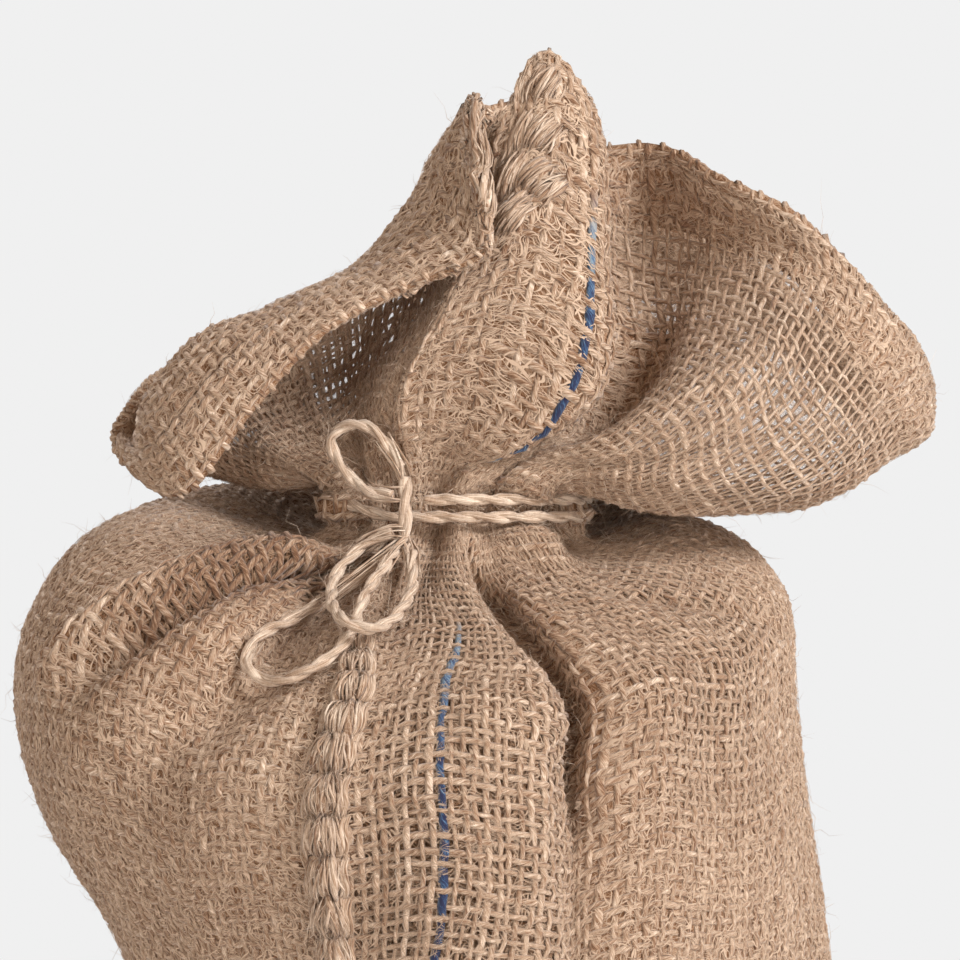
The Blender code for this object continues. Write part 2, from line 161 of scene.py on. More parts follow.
# Tubes along many paths at once. A tube's ring at a point is
# point + across*width/2*cos(angle) + up*thick/2*sin(angle), where across = normal x along.
# UV runs in millimetres along the tube and in turns round it. tone is how light the yarn's colour is (on the
# cloth's yarns it also carries painted shade and light), dye how blue it is.
def tubes(points, normals, widths, thicks, sides, tone, dye=None):
    count, steps = points.shape[:2]
    along = unit(np.gradient(points, axis=1))
    across = unit(np.cross(normals, along))
    up = np.cross(along, across)
    angle = 2 * math.pi * np.arange(sides) / sides
    ringPoints = (
        points[:, :, None]
        + across[:, :, None] * (widths[..., None] / 2 * np.cos(angle))[..., None]
        + up[:, :, None] * (thicks[..., None] / 2 * np.sin(angle))[..., None]
    )
    index = np.arange(count * steps * sides).reshape(count, steps, sides)
    turned = np.roll(index, -1, axis=2)
    walls = np.stack([index[:, :-1], index[:, 1:], turned[:, 1:], turned[:, :-1]], axis=-1)
    run = lengthsAlong(points) + chance.uniform(0, 500, (count, 1))  # each tube has its own stretch of fibres
    begin, end = (np.broadcast_to(part[..., None], walls.shape[:3]) for part in (run[:, :-1], run[:, 1:]))
    low = np.broadcast_to(np.arange(sides) / sides, walls.shape[:3])
    high = low + 1 / sides
    runs, turns = np.stack([begin, end, end, begin], axis=-1), np.stack([low, low, high, high], axis=-1)
    uv = np.stack([runs, turns], axis=-1).reshape(-1, 2)
    quads, threes = [walls.reshape(-1, 4)], [noFace]
    for ring, order in ((index[:, 0], 1), (index[:, -1], -1)):  # an end is a fan of fours, and maybe a three
        for k in range(1, sides - 1, 2):
            cap = ring[:, [0, *range(k, min(k + 3, sides))]][:, ::order]
            (quads if cap.shape[1] == 4 else threes).append(cap)
    quads = np.concatenate(quads)
    spread = {"tone": tone, "dye": np.zeros(tone.shape) if dye is None else dye}
    return {
        "points": ringPoints.reshape(-1, 3),
        "quads": quads,
        "threes": np.concatenate(threes),
        "uv": np.concatenate([uv, np.full((quads.size - walls.size, 2), 0.5)]),
        "values": {name: np.repeat(value, sides) for name, value in spread.items()},
    }


def joined(parts):  # several shapes as one: each one's point numbers start after the last one's
    starts = np.concatenate([[0], np.cumsum([len(part["points"]) for part in parts])])
    whole = {key: np.concatenate([part[key] for part in parts]) for key in ("points", "uv")}
    for key in ("quads", "threes"):
        whole[key] = np.concatenate([part[key] + start for part, start in zip(parts, starts)])
    keys = parts[0]["values"]
    whole["values"] = {key: np.concatenate([part["values"][key] for part in parts]) for key in keys}
    return whole


# One piece of the scene: its points in metres, its fours and then its threes, and a value for each point
def pieceFrom(name, shape, material):
    mesh = bpy.data.meshes.new(name)
    quads, threes = shape["quads"], shape["threes"]
    corners = np.concatenate([quads.reshape(-1), threes.reshape(-1)])
    totals = np.concatenate([np.full(len(quads), 4), np.full(len(threes), 3)])
    mesh.vertices.add(len(shape["points"]))
    mesh.vertices.foreach_set("co", (shape["points"] * mm).astype(np.float32).reshape(-1))
    mesh.loops.add(len(corners))
    mesh.loops.foreach_set("vertex_index", corners.astype(np.int32))
    mesh.polygons.add(len(totals))
    mesh.polygons.foreach_set("loop_start", (np.cumsum(totals) - totals).astype(np.int32))
    mesh.polygons.foreach_set("loop_total", totals.astype(np.int32))
    mesh.update(calc_edges=True)
    uvLayer = mesh.uv_layers.new(name="UVMap")
    uv = np.concatenate([shape["uv"], np.full((threes.size, 2), 0.5)])
    uvLayer.data.foreach_set("uv", uv.astype(np.float32).reshape(-1))
    for key, value in shape["values"].items():
        attribute = mesh.attributes.new(key, "FLOAT", "POINT")
        attribute.data.foreach_set("value", value.astype(np.float32))
    mesh.validate()
    mesh.shade_smooth()
    mesh.materials.append(material)
    piece = bpy.data.objects.new(name, mesh)
    bpy.context.collection.objects.link(piece)
    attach(piece, "root")
    print(name, "made:", len(quads) * 2 + len(threes), "triangles")
    return piece


# One socket of a shader, with the sums and products that the materials use
class Socket:
    def __init__(self, maker, socket):
        self.maker, self.socket = maker, socket

    def maths(self, operation, other, swap=False):
        return self.maker.maths(operation, *((other, self) if swap else (self, other)))

    def __add__(self, other):
        return self.maths("ADD", other)

    def __mul__(self, other):
        return self.maths("MULTIPLY", other)

    def __sub__(self, other):
        return self.maths("SUBTRACT", other)

    def __rsub__(self, other):
        return self.maths("SUBTRACT", other, swap=True)

    def __truediv__(self, other):
        return self.maths("DIVIDE", other)

    __radd__, __rmul__ = __add__, __mul__


# A cloth or fibre material, with a method for each kind of node that it needs
class Material:
    def __init__(self, name, roughness, sheen):
        self.made = bpy.data.materials.new(name)
        self.made.use_nodes = True
        self.nodes, self.links = self.made.node_tree.nodes, self.made.node_tree.links
        self.shader = self.nodes["Principled BSDF"]
        self.shader.inputs["Roughness"].default_value = roughness
        self.shader.inputs["Specular IOR Level"].default_value = 0.2
        self.shader.inputs["Sheen Weight"].default_value = sheen
        self.shader.inputs["Sheen Roughness"].default_value = 0.6

    def node(self, kind, settings=(), values=(), output=0, stops=None):
        made = self.nodes.new(kind)
        for key, value in dict(settings).items():
            setattr(made, key, value)
        if stops:
            ramp = made.color_ramp
            while len(ramp.elements) < len(stops):
                ramp.elements.new(0.5)
            for element, (place, colour) in zip(ramp.elements, stops):
                element.position, element.color = place, (*colour, 1)
        for key, value in dict(values).items():
            if isinstance(value, Socket):
                self.links.new(value.socket, made.inputs[key])
            else:
                made.inputs[key].default_value = value
        return Socket(self, made.outputs[output])

    def maths(self, operation, *values, clamp=False):
        settings = {"operation": operation, "use_clamp": clamp}
        return self.node("ShaderNodeMath", settings, dict(enumerate(values)))

    def attribute(self, name):
        return self.node("ShaderNodeAttribute", {"attribute_name": name}, output="Fac")

    def noise(self, vector, scale, detail=3.0, roughness=0.6):
        return self.node(
            "ShaderNodeTexNoise",
            values={"Vector": vector, "Scale": scale, "Detail": detail, "Roughness": roughness},
            output="Fac",
        )

    def ramp(self, amount, stops):
        return self.node("ShaderNodeValToRGB", values={"Fac": amount}, stops=stops, output="Color")

    def mix(self, amount, first, second):
        values = {0: amount, 6: first, 7: second}
        return self.node("ShaderNodeMix", {"data_type": "RGBA"}, values, output=2)

    def vector(self, x, y, z):
        return self.node("ShaderNodeCombineXYZ", values={0: x, 1: y, 2: z})

    def uvParts(self):
        uv = self.node("ShaderNodeTexCoord", output="UV")
        parts = self.nodes.new("ShaderNodeSeparateXYZ")
        self.links.new(uv.socket, parts.inputs[0])
        return Socket(self, parts.outputs[0]), Socket(self, parts.outputs[1])

    def finish(self, colour, bump=None, strength=0.4, distance=0.1):
        self.links.new(colour.socket, self.shader.inputs["Base Color"])
        if bump is not None:
            values = {"Strength": strength, "Distance": distance * mm, "Height": bump}
            raised = self.node("ShaderNodeBump", values=values, output="Normal")
            self.links.new(raised.socket, self.shader.inputs["Normal"])
        return self.made


# Materials

# Colours are linear. tone is a yarn's own shade, and on the cloth's yarns it also carries painted shade and
# light; dye marks the blue one.
jute = {
    "dark": (0.135, 0.058, 0.026),
    "brown": (0.275, 0.150, 0.082),
    "tan": (0.425, 0.280, 0.184),
    "straw": (0.60, 0.440, 0.320),
    "pale": (0.86, 0.71, 0.57),
    "blueDark": (0.014, 0.018, 0.062),
    "blue": (0.040, 0.105, 0.220),
    "bluePale": (0.24, 0.32, 0.38),
    "fibresAlong": 0.42,  # noise cycles to the millimetre
    "fibresRound": 11.0,  # noise cycles to the turn
    "twist": 8.0,  # millimetres to the turn of a fibre round the yarn
}


def stopsOf(**places):  # a ramp's stops: each colour of the jute at its place
    return [(place, jute[name]) for name, place in places.items()]


# Fibres: noise stretched along the yarn and turned round it as it goes, so that streaks wind.
# The colour is a ramp over tone + streaks + slubs.
def juteMaterial(name, toneShift, twist, roundCycles, alongCycles):
    made = Material(name, roughness=0.85, sheen=0.25)
    length, turn = made.uvParts()
    tone, dye = made.attribute("tone"), made.attribute("dye")
    wound = (turn + length / twist) * (2 * math.pi)
    ringX, ringY = made.maths("COSINE", wound), made.maths("SINE", wound)
    coarse, thin = roundCycles / 6.3, roundCycles / 2.4
    fibres = made.noise(made.vector(length * alongCycles, ringX * coarse, ringY * coarse), 1.0, 5.0, 0.65)
    slubs = made.noise(made.vector(length * 0.06, tone * 40.0, 0.0), 1.0, detail=1.0)
    fine = made.noise(made.vector(length * alongCycles * 2.2, ringX * thin, ringY * thin), 1.0)
    shade = tone * 0.55 + fibres * 1.7 + fine * 1.1 + slubs * 0.25 + (toneShift - 1.30)
    colour = made.ramp(shade, stopsOf(dark=0.12, brown=0.32, tan=0.5, straw=0.7, pale=0.95))
    blueness = fibres * 1.5 + fine * 1.2 - (dye * 0.74 + 0.38)
    blues = made.ramp(blueness, stopsOf(blueDark=0.25, blue=0.46, bluePale=0.75))
    colour = made.mix(made.maths("MULTIPLY", dye, 2.2, clamp=True), colour, blues)
    return made.finish(colour, bump=fibres + fine * 0.6, strength=0.6, distance=0.25)


# Stray fibres in and over the weave: a noise drawn out along a slant, bent by a slower one, leaves short
# streaks where it passes a limit. Three slants cross, over a speckled ground. A place is as full as
# max(ground, streaks * haze * 1.5), where haze is its own value.
def hazeMaterial(name, limit, slants, groundCover, toneShift):
    made = Material(name, roughness=0.95, sheen=0.0)
    haze = made.attribute("haze")
    across, up = made.uvParts()
    bend = made.noise(made.vector(across, up, 3.0), 0.17, detail=1.0) * 7.0
    fibres = None
    for slant, seed in slants:
        turn = math.radians(slant)
        along = across * math.cos(turn) + up * math.sin(turn)
        beside = up * math.cos(turn) - across * math.sin(turn) + bend
        strand = made.noise(made.vector(along * 0.3, beside * 3.8, seed), 1.0, detail=1.0, roughness=0.5)
        strand = made.maths("MULTIPLY_ADD", strand - limit, 14.0, 0.5, clamp=True)
        fibres = strand if fibres is None else made.maths("MAXIMUM", fibres, strand)
    speckle = made.noise(made.vector(across, up, 0.0), 2.6, detail=3.0, roughness=0.7)
    streaks = made.noise(made.vector(across * 0.5, up * 0.5, 7.0), 2.0, detail=4.0, roughness=0.8)
    ground = made.maths("MULTIPLY_ADD", speckle + haze * groundCover - 1.0, 6.0, 0.5, clamp=True)
    filled = made.maths("MAXIMUM", ground, fibres * haze * 1.5)
    # In the haze the ground sits low on the ramp, darker than the yarns: partly the fibres' own colour and
    # partly painted shade for the gaps between the yarns
    shade = speckle * 0.5 + fibres * 0.36 + haze * 0.25 + streaks * 0.4 + (toneShift - 0.38)
    made.links.new(filled.socket, made.shader.inputs["Alpha"])
    return made.finish(made.ramp(shade, stopsOf(dark=0.15, brown=0.38, tan=0.62, straw=0.9)))


# Haze: the limit, each slant in degrees with its seed, how much of the ground shows, the shade's shift.
# Fibres: the shade's shift, mm to a turn, then noise cycles to a turn and to a mm.
hazeJute = hazeMaterial("jute_haze", 0.585, ((24, 3.0), (-52, 11.0), (81, 23.0)), 1.0, 0.0)
fuzzJute = hazeMaterial("jute_fuzz", 0.615, ((12, 5.0), (58, 13.0), (-35, 29.0)), 0.0, 0.42)
yarnJute = juteMaterial("hessian_yarn", 0.0, jute["twist"], jute["fibresRound"], jute["fibresAlong"])
twineJute = juteMaterial("jute_twine_plies", 0.13, 12.0, 22.0, 0.16)
stitchJute = juteMaterial("jute_stitches", 0.04, 14.0, 8.0, 0.2)
hairJute = juteMaterial("jute_fibres", 0.16, 30.0, 2.0, 0.2)
print("materials made")


# The twine

twine = {
    "thick": 2.8,  # mm
    "ply": 1.52,
    "plyOffset": 0.46,  # from the twine's middle to a ply's middle
    "lay": 12.0,  # mm to a full turn of the plies
    "step": 0.55,
    "tone": 0.68,
    "offsetWaves": (5.0, 11.0),  # mm, and how far the plies' offset, width and tone vary with them, as shares
    "offsetUneven": 0.10,
    "widthWaves": (3.0, 7.0),
    "widthUneven": 0.08,
    "toneWaves": (6.0, 19.0),
    "toneUneven": 0.16,
    "knotThicker": 1.12,  # the knot's twine is pulled flat and thick
    "tieHeight": 172.0,
}
# x, y, height above the tie's middle, in mm
twineRoutes = {
    "tie_knot": (
        (-6.2, -18.8, 5.6), (-6.2, -19.8, 3.4), (-6.2, -20.6, 0.8), (-6.2, -20.6, -1.6),
        (-6.2, -20.4, -4.0), (-6.2, -20.4, -6.0),
    ),
    "bow_loop_up": (
        (-8.4, -20.2, 2.5), (-12.4, -18.2, 3.0), (-16.6, -16.2, 6.1), (-19.2, -15.0, 9.8),
        (-19.7, -14.5, 13.0), (-17.3, -15.0, 15.0), (-14.1, -16.4, 15.3), (-10.9, -18.2, 13.3),
        (-8.8, -19.0, 10.6), (-6.8, -18.9, 7.5),
    ),
    "bow_loop_down": (
        (-8.4, -20.6, -4.3), (-12.2, -19.9, -5.8), (-16.3, -22.0, -8.9), (-18.8, -26.4, -12.3),
        (-19.3, -32.0, -15.4), (-18.4, -40.6, -18.0), (-15.2, -47.6, -20.4), (-12.2, -48.4, -21.2),
        (-9.2, -44.6, -20.3), (-6.4, -37.8, -17.5), (-4.7, -31.2, -14.0), (-4.8, -26.2, -10.8),
        (-4.9, -22.8, -8.2),
    ),
    "bow_loop_left": (
        (-8.2, -22.6, -7.8), (-10.0, -27.6, -10.6), (-12.3, -32.6, -14.0), (-14.0, -38.8, -17.6),
        (-15.0, -42.6, -21.2), (-16.9, -46.2, -24.0), (-19.5, -48.0, -26.4), (-24.6, -49.8, -29.2),
        (-31.0, -45.6, -30.2), (-34.2, -43.0, -27.2), (-32.9, -40.4, -23.7), (-26.9, -34.2, -20.1),
        (-21.8, -29.6, -17.3),
    ),
}
# The two turns round the neck: degrees from the knot, then mm
band = {
    "knotAngle": -22.6, "start": 9.0, "dropStart": 316.0, "dropEnd": 358.0, "end": 674.0,
    "halfPitch": 1.6, "middleX": 3.0, "halfWidth": 24.30, "halfDepth": 17.55,
}


def evenly(points, spacing):  # points this far apart on the smooth curve through the given ones
    knots = lengthsAlong(points)
    path = curveThrough(knots, points, np.linspace(0, knots[-1], 600))
    length = lengthsAlong(path)[-1]
    return pointsAt(path, np.linspace(0, length, max(4, round(length / spacing) + 1)))


# The tie's route: an ellipse round the neck, whose height drops by a smooth step between its two turns
def bandRoute():
    turn = np.linspace(band["start"], band["end"], 160)
    drop = np.clip((turn - band["dropStart"]) / (band["dropEnd"] - band["dropStart"]), 0, 1)
    height = band["halfPitch"] - 2 * band["halfPitch"] * drop**2 * (3 - 2 * drop)
    angle = np.radians(band["knotAngle"] + turn)
    x = band["middleX"] + band["halfWidth"] * np.sin(angle)
    return np.stack([x, -band["halfDepth"] * np.cos(angle), height], axis=-1)


# A steady pair of directions square to a path: each step's side is the last one less its share along the path
def sidesOf(path):
    along = unit(np.gradient(path, axis=0))
    side = np.zeros_like(path)
    side[0] = unit(np.cross(along[0], (0.3, 0.2, 1.0)))
    for k in range(1, len(path)):
        side[k] = unit(side[k - 1] - along[k] * (side[k - 1] @ along[k]))
    return side, np.cross(along, side)


# Two plies wound round a path: path + offset*(side*cos + up*sin), half a turn apart
def twineShape(path, thick=1.0):
    side, up = sidesOf(path)
    run = lengthsAlong(path)
    plies, normals = [], []
    for half in (0, math.pi):
        angle = (2 * math.pi * run / twine["lay"] + half)[:, None]
        outward = side * np.cos(angle) + up * np.sin(angle)
        uneven = 1 + twine["offsetUneven"] * wander(1, run, twine["offsetWaves"], 1.0)[0][:, None]
        plies.append(path + outward * twine["plyOffset"] * thick * uneven)
        normals.append(outward)
    points, normals = np.stack(plies), np.stack(normals)
    width = twine["ply"] * thick * (1 + wander(2, run, twine["widthWaves"], twine["widthUneven"]))
    tone = np.clip(twine["tone"] + wander(2, run, twine["toneWaves"], twine["toneUneven"]), 0, 1)
    return tubes(points, normals, width, width * 0.95, 8, tone)


routes = {"tie_band": bandRoute()}
routes.update({name: np.array(points, float) for name, points in twineRoutes.items()})
twinePaths = {}
for name, route in routes.items():
    path = evenly(route, twine["step"]) + (0, 0, twine["tieHeight"])
    twinePaths[name] = path
    shape = twineShape(path, twine["knotThicker"] if name == "tie_knot" else 1.0)
    piece = pieceFrom(name + "_twine", shape, twineJute)
    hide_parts(name)
    run = lengthsAlong(path)[-1] * mm
print("twine made")


# The cloth's surface

cloth = {
    "round": 460.0,  # mm of cloth round the sack
    "tieHeight": 172.0,
    "thick": 1.6,
    "hemWidth": 12.0,
    "hemSlope": 3.0,  # the length over which the hem's two layers part
    "hemHalf": 0.68,  # from the hem's middle to each of its layers
    "mouthRows": 12,
    "curl": 0.25,  # the mouth's bulge towards its rim, as a share of its distance from the fold's middle
    "seamRidge": 1.6,
    "seamHalfWidth": 3.0,
    "seamAtNeck": 0.2,  # how much of the ridge is left under the tie
    "warpPitch": 1.98,
    "weftPitch": 2.55,
    "fineStep": 0.5,  # mm between the fine grid's lines, round the cloth
    "wallRows": 420,
    "mouthFineRows": 170,
    "baseRows": 60,
    "softenings": 6,
}
neck = {
    "middleX": 3.0, "halfWidth": 21.5, "halfDepth": 15.0, "halfHeight": 3.4,
    "pleats": 11, "pleatDepth": 0.28, "pleatShift": 4.0, "shiftWaves": 3, "uneven": 0.15, "unevenWaves": 4,
}
foot = {"middleX": 12.0, "seam": -25.0, "halfWidth": 54.0, "halfDepth": 47.0}
# mm of cloth to the right of the seam, and degrees round the neck from the front
neckTurns = (
    (-107.0, -84.0),
    (-45.0, -47.0),
    (0.0, -23.0),
    (46.0, 8.0),
    (90.0, 45.0),
    (138.0, 88.0),
    (236.0, 178.0),
)
# height from the tie, lean, tilt, fall, middle x, half width, half depth, seam, turn, pleat
bodyRings = (
    (-6.2, 0.00, 0.00, 1.0, 2.5, 25.5, 19.0, -16.0, 0.10, 0.90),
    (-5.4, -0.01, 0.12, 6.5, 0.5, 33.0, 25.0, -12.0, 0.40, 0.40),
    (-2.5, -0.03, 0.20, 13.6, -3.0, 49.0, 38.0, -10.0, 0.75, 0.10),
    (-9.0, -0.03, 0.13, 17.0, -4.0, 63.5, 50.0, -9.0, 0.95, 0.0),
    (-20.0, 0.00, 0.05, 16.0, -5.7, 70.5, 56.0, -9.0, 1.0, 0.0),
    (-34.0, 0.00, 0.02, 12.0, -6.4, 72.0, 59.0, -10.0, 1.0, 0.0),
    (-56.0, 0.00, 0.00, 5.0, -2.5, 71.0, 60.0, -13.5, 1.0, 0.0),
    (-80.0, 0.00, 0.00, 0.0, 6.5, 66.0, 59.0, -21.0, 1.0, 0.0),
    (-120.0, 0.00, 0.00, 0.0, 12.0, 61.0, 56.0, -25.0, 1.0, 0.0),
    (-162.0, 0.00, 0.00, 0.0, 12.0, 58.0, 52.0, -25.0, 1.0, 0.0),
)
# mm of cloth to the right of the seam, then the fold's low, middle, crest and rim points
mouthFolds = (
    (0.0, (-7, -17, 18), (3, -18.5, 39), (10, -16, 59), (13, -14.5, 75)),
    (12.0, (3, -18.5, 16), (14, -23, 40), (18, -19, 64), (19.5, -14, 84)),
    (24.0, (14, -20.5, 11), (28, -23, 20), (30.5, -18, 48), (27, -12, 75)),
    (34.0, (17.5, -15, 12), (28, -11, 22), (29.5, -8, 46), (27.5, -4, 72)),
    (46.0, (21.5, -15, 12), (32, -4, 25), (34.5, 5, 47), (32, 5, 67)),
    (62.0, (28, -19, 13), (42, -15, 27), (48, 2, 45), (47, 1, 63)),
    (80.0, (35, -24, 9), (53, -26, 21), (64, -11, 40), (65, -8, 55)),
    (100.0, (37, -22, 2), (62, -27, 12), (77, -16, 30), (81.5, -9, 38)),
    (120.0, (42, -16, -0.5), (69, -21, 4.5), (84, -10, 19), (90.5, -2, 26)),
    (138.0, (46, -6, -0.6), (71, -7, 1.5), (86, 0, 11), (91, 9, 16)),
    (164.0, (43, 12, 1.5), (65, 22, 9), (77, 29, 20), (80, 30, 30)),
    (192.0, (32, 26, 7), (46, 41, 19), (54, 48, 36), (55, 47, 51)),
    (222.0, (13, 30, 9), (19, 47, 24), (22, 54, 42), (22, 50, 58)),
    (250.0, (-5, 28, 9), (-7, 44, 23), (-8, 49, 41), (-5, 41, 55)),
    (274.0, (-17, 24, 9), (-25, 38, 20), (-27, 41, 33), (-18, 33, 42)),
    (300.0, (-26, 18, 7), (-38, 29, 13), (-47, 27, 23), (-49, 18, 27)),
    (322.0, (-30, 11, 4.5), (-44, 20, 9), (-53, 17, 16), (-58, 7, 19)),
    (340.0, (-31, 4, 3.4), (-45, 11, 7), (-55, 6, 12), (-59, -7, 10)),
    (356.0, (-30, -3, 4.2), (-44, 4, 9.5), (-55, -5, 18), (-47, -23, 2)),
    (374.0, (-28, -7, 8.5), (-40, 2, 19), (-46, -8, 31), (-34, -27, 17)),
    (394.0, (-22, -5, 13), (-28, 6, 26), (-30, -4, 37), (-20, -26, 32)),
    (412.0, (-16, -6, 16), (-15, 5, 32), (-15, -4, 45), (-3, -26, 41)),
    (422.0, (-14, -8, 17), (-10, 1, 35), (-7, -6, 55), (8, -28.5, 46)),
    (434.0, (-12, -12, 18), (-5, -7, 37), (-1, -9, 66), (5.5, -26, 58)),
    (446.0, (-10, -15, 18), (-1, -14, 38), (4, -11, 70), (6.5, -22.5, 69)),
    (454.0, (-8, -16, 18), (1, -17.5, 39), (7.5, -14, 62), (10, -18, 74)),
)
foldLevels = (0, 1.5, 4, 6, 9)  # the rings, from the neck down, that a body fold's heights are given for
foldTop, foldLow = -4, -60  # heights from the tie between which a body fold moves across the cloth
# top place, low place, half width, then heights on the shoulder, upper side, middle and lower down
bodyFolds = (
    (24.0, 24.0, 15.0, 2.0, 5.0, 6.0, 4.0),
    (45.0, 47.0, 6.0, -4.0, -9.0, -7.0, -3.0),
    (60.0, 64.0, 9.0, 2.0, 3.0, 1.5, 0.0),
    (95.0, 95.0, 16.0, -1.0, -1.0, 0.0, 0.0),
    (-40.0, -70.0, 11.0, 5.0, 4.0, 0.0, 0.0),
    (-20.0, -45.0, 9.0, -5.0, -6.0, -1.0, 0.0),
    (150.0, 146.0, 13.0, 0.0, 3.0, -2.0, -2.0),
    (186.0, 180.0, 11.0, -1.0, -4.0, -2.0, 0.0),
    (222.0, 228.0, 14.0, 0.0, 3.0, 2.0, 1.0),
    (262.0, 256.0, 11.0, -1.0, -5.0, -3.0, -1.0),
    (300.0, 306.0, 15.0, 0.0, 3.0, 3.0, 1.0),
)


def roundTheCloth(places, values, at):  # a table that closes on itself round the sack
    places, values = np.asarray(places, float), np.asarray(values, float)
    knots = np.concatenate([places[-3:] - cloth["round"], places, places[:3] + cloth["round"]])
    return curveThrough(knots, np.concatenate([values[-3:], values, values[:3]]), at)


def neckAngles(places):  # the turns' table as a smooth curve, which gains a whole turn for each time round
    table = np.array(neckTurns)
    knots = np.concatenate([table[-2:, 0] - cloth["round"], table[:, 0], table[:2, 0] + cloth["round"]])
    angles = np.concatenate([table[-2:, 1] - 360, table[:, 1], table[:2, 1] + 360])
    rounds = np.floor((places - table[0, 0]) / cloth["round"])
    return np.radians(curveThrough(knots, angles, places - rounds * cloth["round"]) + 360 * rounds)


def pleatReach(places, amount):  # 1 on a pleat's ridge, less in its valley: a cosine, a little uneven
    turn = 2 * math.pi * places / cloth["round"]
    shifted = turn + 2 * math.pi * neck["pleatShift"] * np.sin(neck["shiftWaves"] * turn) / cloth["round"]
    wave = 0.5 - 0.5 * np.cos(neck["pleats"] * shifted)
    uneven = 1 + neck["uneven"] * np.sin(neck["unevenWaves"] * turn + 1.0)
    return 1 - amount * neck["pleatDepth"] * uneven * wave


# A ring of the sack: an ellipse, in by its pleats, whose height is
# height + lean * x + tilt * y - fall * max(cos(angle), 0)^1.5
def ringPoints(places, height, lean, tilt, fall, middleX, halfWidth, halfDepth, seam, turn, pleat):
    angles = (1 - turn) * neckAngles(places) + turn * np.radians(seam + 360 * places / cloth["round"])
    reach = pleatReach(places, pleat)
    x, y = halfWidth * reach * np.sin(angles), -halfDepth * reach * np.cos(angles)
    front = np.maximum(np.cos(angles), 0) ** 1.5
    z = cloth["tieHeight"] + height + lean * x + tilt * y - fall * front
    return np.stack([middleX + x, y, z], axis=-1)


def neckRing(places, height):  # the level ring under the tie, with its pleats at full depth
    return ringPoints(places, height, 0, 0, 0, neck["middleX"], neck["halfWidth"], neck["halfDepth"], 0, 0, 1)


# The mouth as lines from the neck to the rim: a smooth curve through each fold's points, whose last
# stretch bulges away from the fold's middle
def mouthLines(places):
    tablePlaces = np.array([row[0] for row in mouthFolds])
    starts, below = neckRing(tablePlaces, neck["halfHeight"]), neckRing(tablePlaces, 0)
    share, fine = np.linspace(0, 1, cloth["mouthRows"] + 1), np.linspace(0, 1, 200)
    lines = []
    for start, under, row in zip(starts, below, mouthFolds):
        low, middle, crest, rim = (np.array(point, float) + (0, 0, cloth["tieHeight"]) for point in row[1:])
        along = (rim - crest) / np.linalg.norm(rim - crest)
        away = (crest + rim) / 2 - middle
        away -= along * (away @ along)
        points = np.stack([under, start, low, middle, crest, (crest + rim) / 2 + cloth["curl"] * away, rim])
        knots = lengthsAlong(points)
        knots -= knots[1]
        path = curveThrough(knots, points, fine * knots[-1])
        lines.append(pointsAt(path, share * lengthsAlong(path)[-1]))
    return roundTheCloth(tablePlaces, np.stack(lines), places)


def gridNormals(grid):  # outward, of a grid that closes along its first axis: its two steps' cross product
    wrapped = np.concatenate([grid[-1:], grid, grid[:1]])
    return unit(np.cross(wrapped[2:] - wrapped[:-2], np.gradient(grid, axis=1)))


def apart(places, place):  # mm of cloth from one place to another, the shorter way round
    return (places - place + cloth["round"] / 2) % cloth["round"] - cloth["round"] / 2


# A soft spot of the cloth, from a table's row of place, mm above the tie, half width, half height and amount:
# amount * exp(-(across / half width)^power - (along / half height)^power)
def spot(places, ups, row, power=2):
    place, up, halfWidth, halfHeight, amount = row
    across, along = apart(places, place) / halfWidth, (ups - up) / halfHeight
    return amount * np.exp(-(across**power) - along**power)


# Rows of the cloth from the wall's lowest ring to the rim, with the laid folds and the seam's ridge
# added along the normals as Gaussian humps
def clothRows(places):
    rings = [ringPoints(places, *row) for row in reversed(bodyRings)]
    rings += [neckRing(places, -neck["halfHeight"]), neckRing(places, 0)]
    grid = np.concatenate([np.stack(rings, axis=1), mouthLines(places)], axis=1)
    normals = gridNormals(grid)
    rows = len(bodyRings)
    depth = np.array([row[0] for row in reversed(bodyRings)])
    level = np.arange(rows)[::-1]
    for top, low, width, shoulder, upper, middle, lower in bodyFolds:
        heights = np.interp(level, (*foldLevels, rows), (0, shoulder, upper, middle, lower, 0))
        centre = np.interp(depth, (foldLow, foldTop), (low, top))
        profile = np.exp(-((apart(places[:, None], centre[None, :]) / width) ** 2))
        grid[:, :rows] += (profile * heights)[..., None] * normals[:, :rows]
    ridge = np.exp(-((apart(places, 0.0) / cloth["seamHalfWidth"]) ** 2))[:, None] * np.ones(grid.shape[1])
    ridge[:, rows - 1 : rows + 4] *= cloth["seamAtNeck"]
    ridge[:, 0] = 0
    return grid + (cloth["seamRidge"] * ridge)[..., None] * normals


def softened(grid, times):  # each point moves halfway to its neighbours' middle, round the sack, then up it
    for _ in range(times):
        grid = 0.5 * grid + 0.25 * (np.roll(grid, 1, 0) + np.roll(grid, -1, 0))
    for _ in range(times):
        grid[:, 1:-1] = 0.5 * grid[:, 1:-1] + 0.25 * (grid[:, 2:] + grid[:, :-2])
    return grid


# Some rings of the sack as an even grid: a smooth curve through each line's points, and this many points
# at even lengths along it. Also the mean length.
def evenGrid(rings, curvePoints, count):
    knots = lengthsAlong(rings).mean(axis=0)
    lines = curveThrough(knots, np.swapaxes(rings, 0, 1), np.linspace(0, knots[-1], curvePoints))
    lines = np.swapaxes(lines, 0, 1)
    lengths = lengthsAlong(lines)[:, -1]
    share = np.linspace(0, 1, count)
    return np.stack([pointsAt(line, share * length) for line, length in zip(lines, lengths)]), lengths.mean()


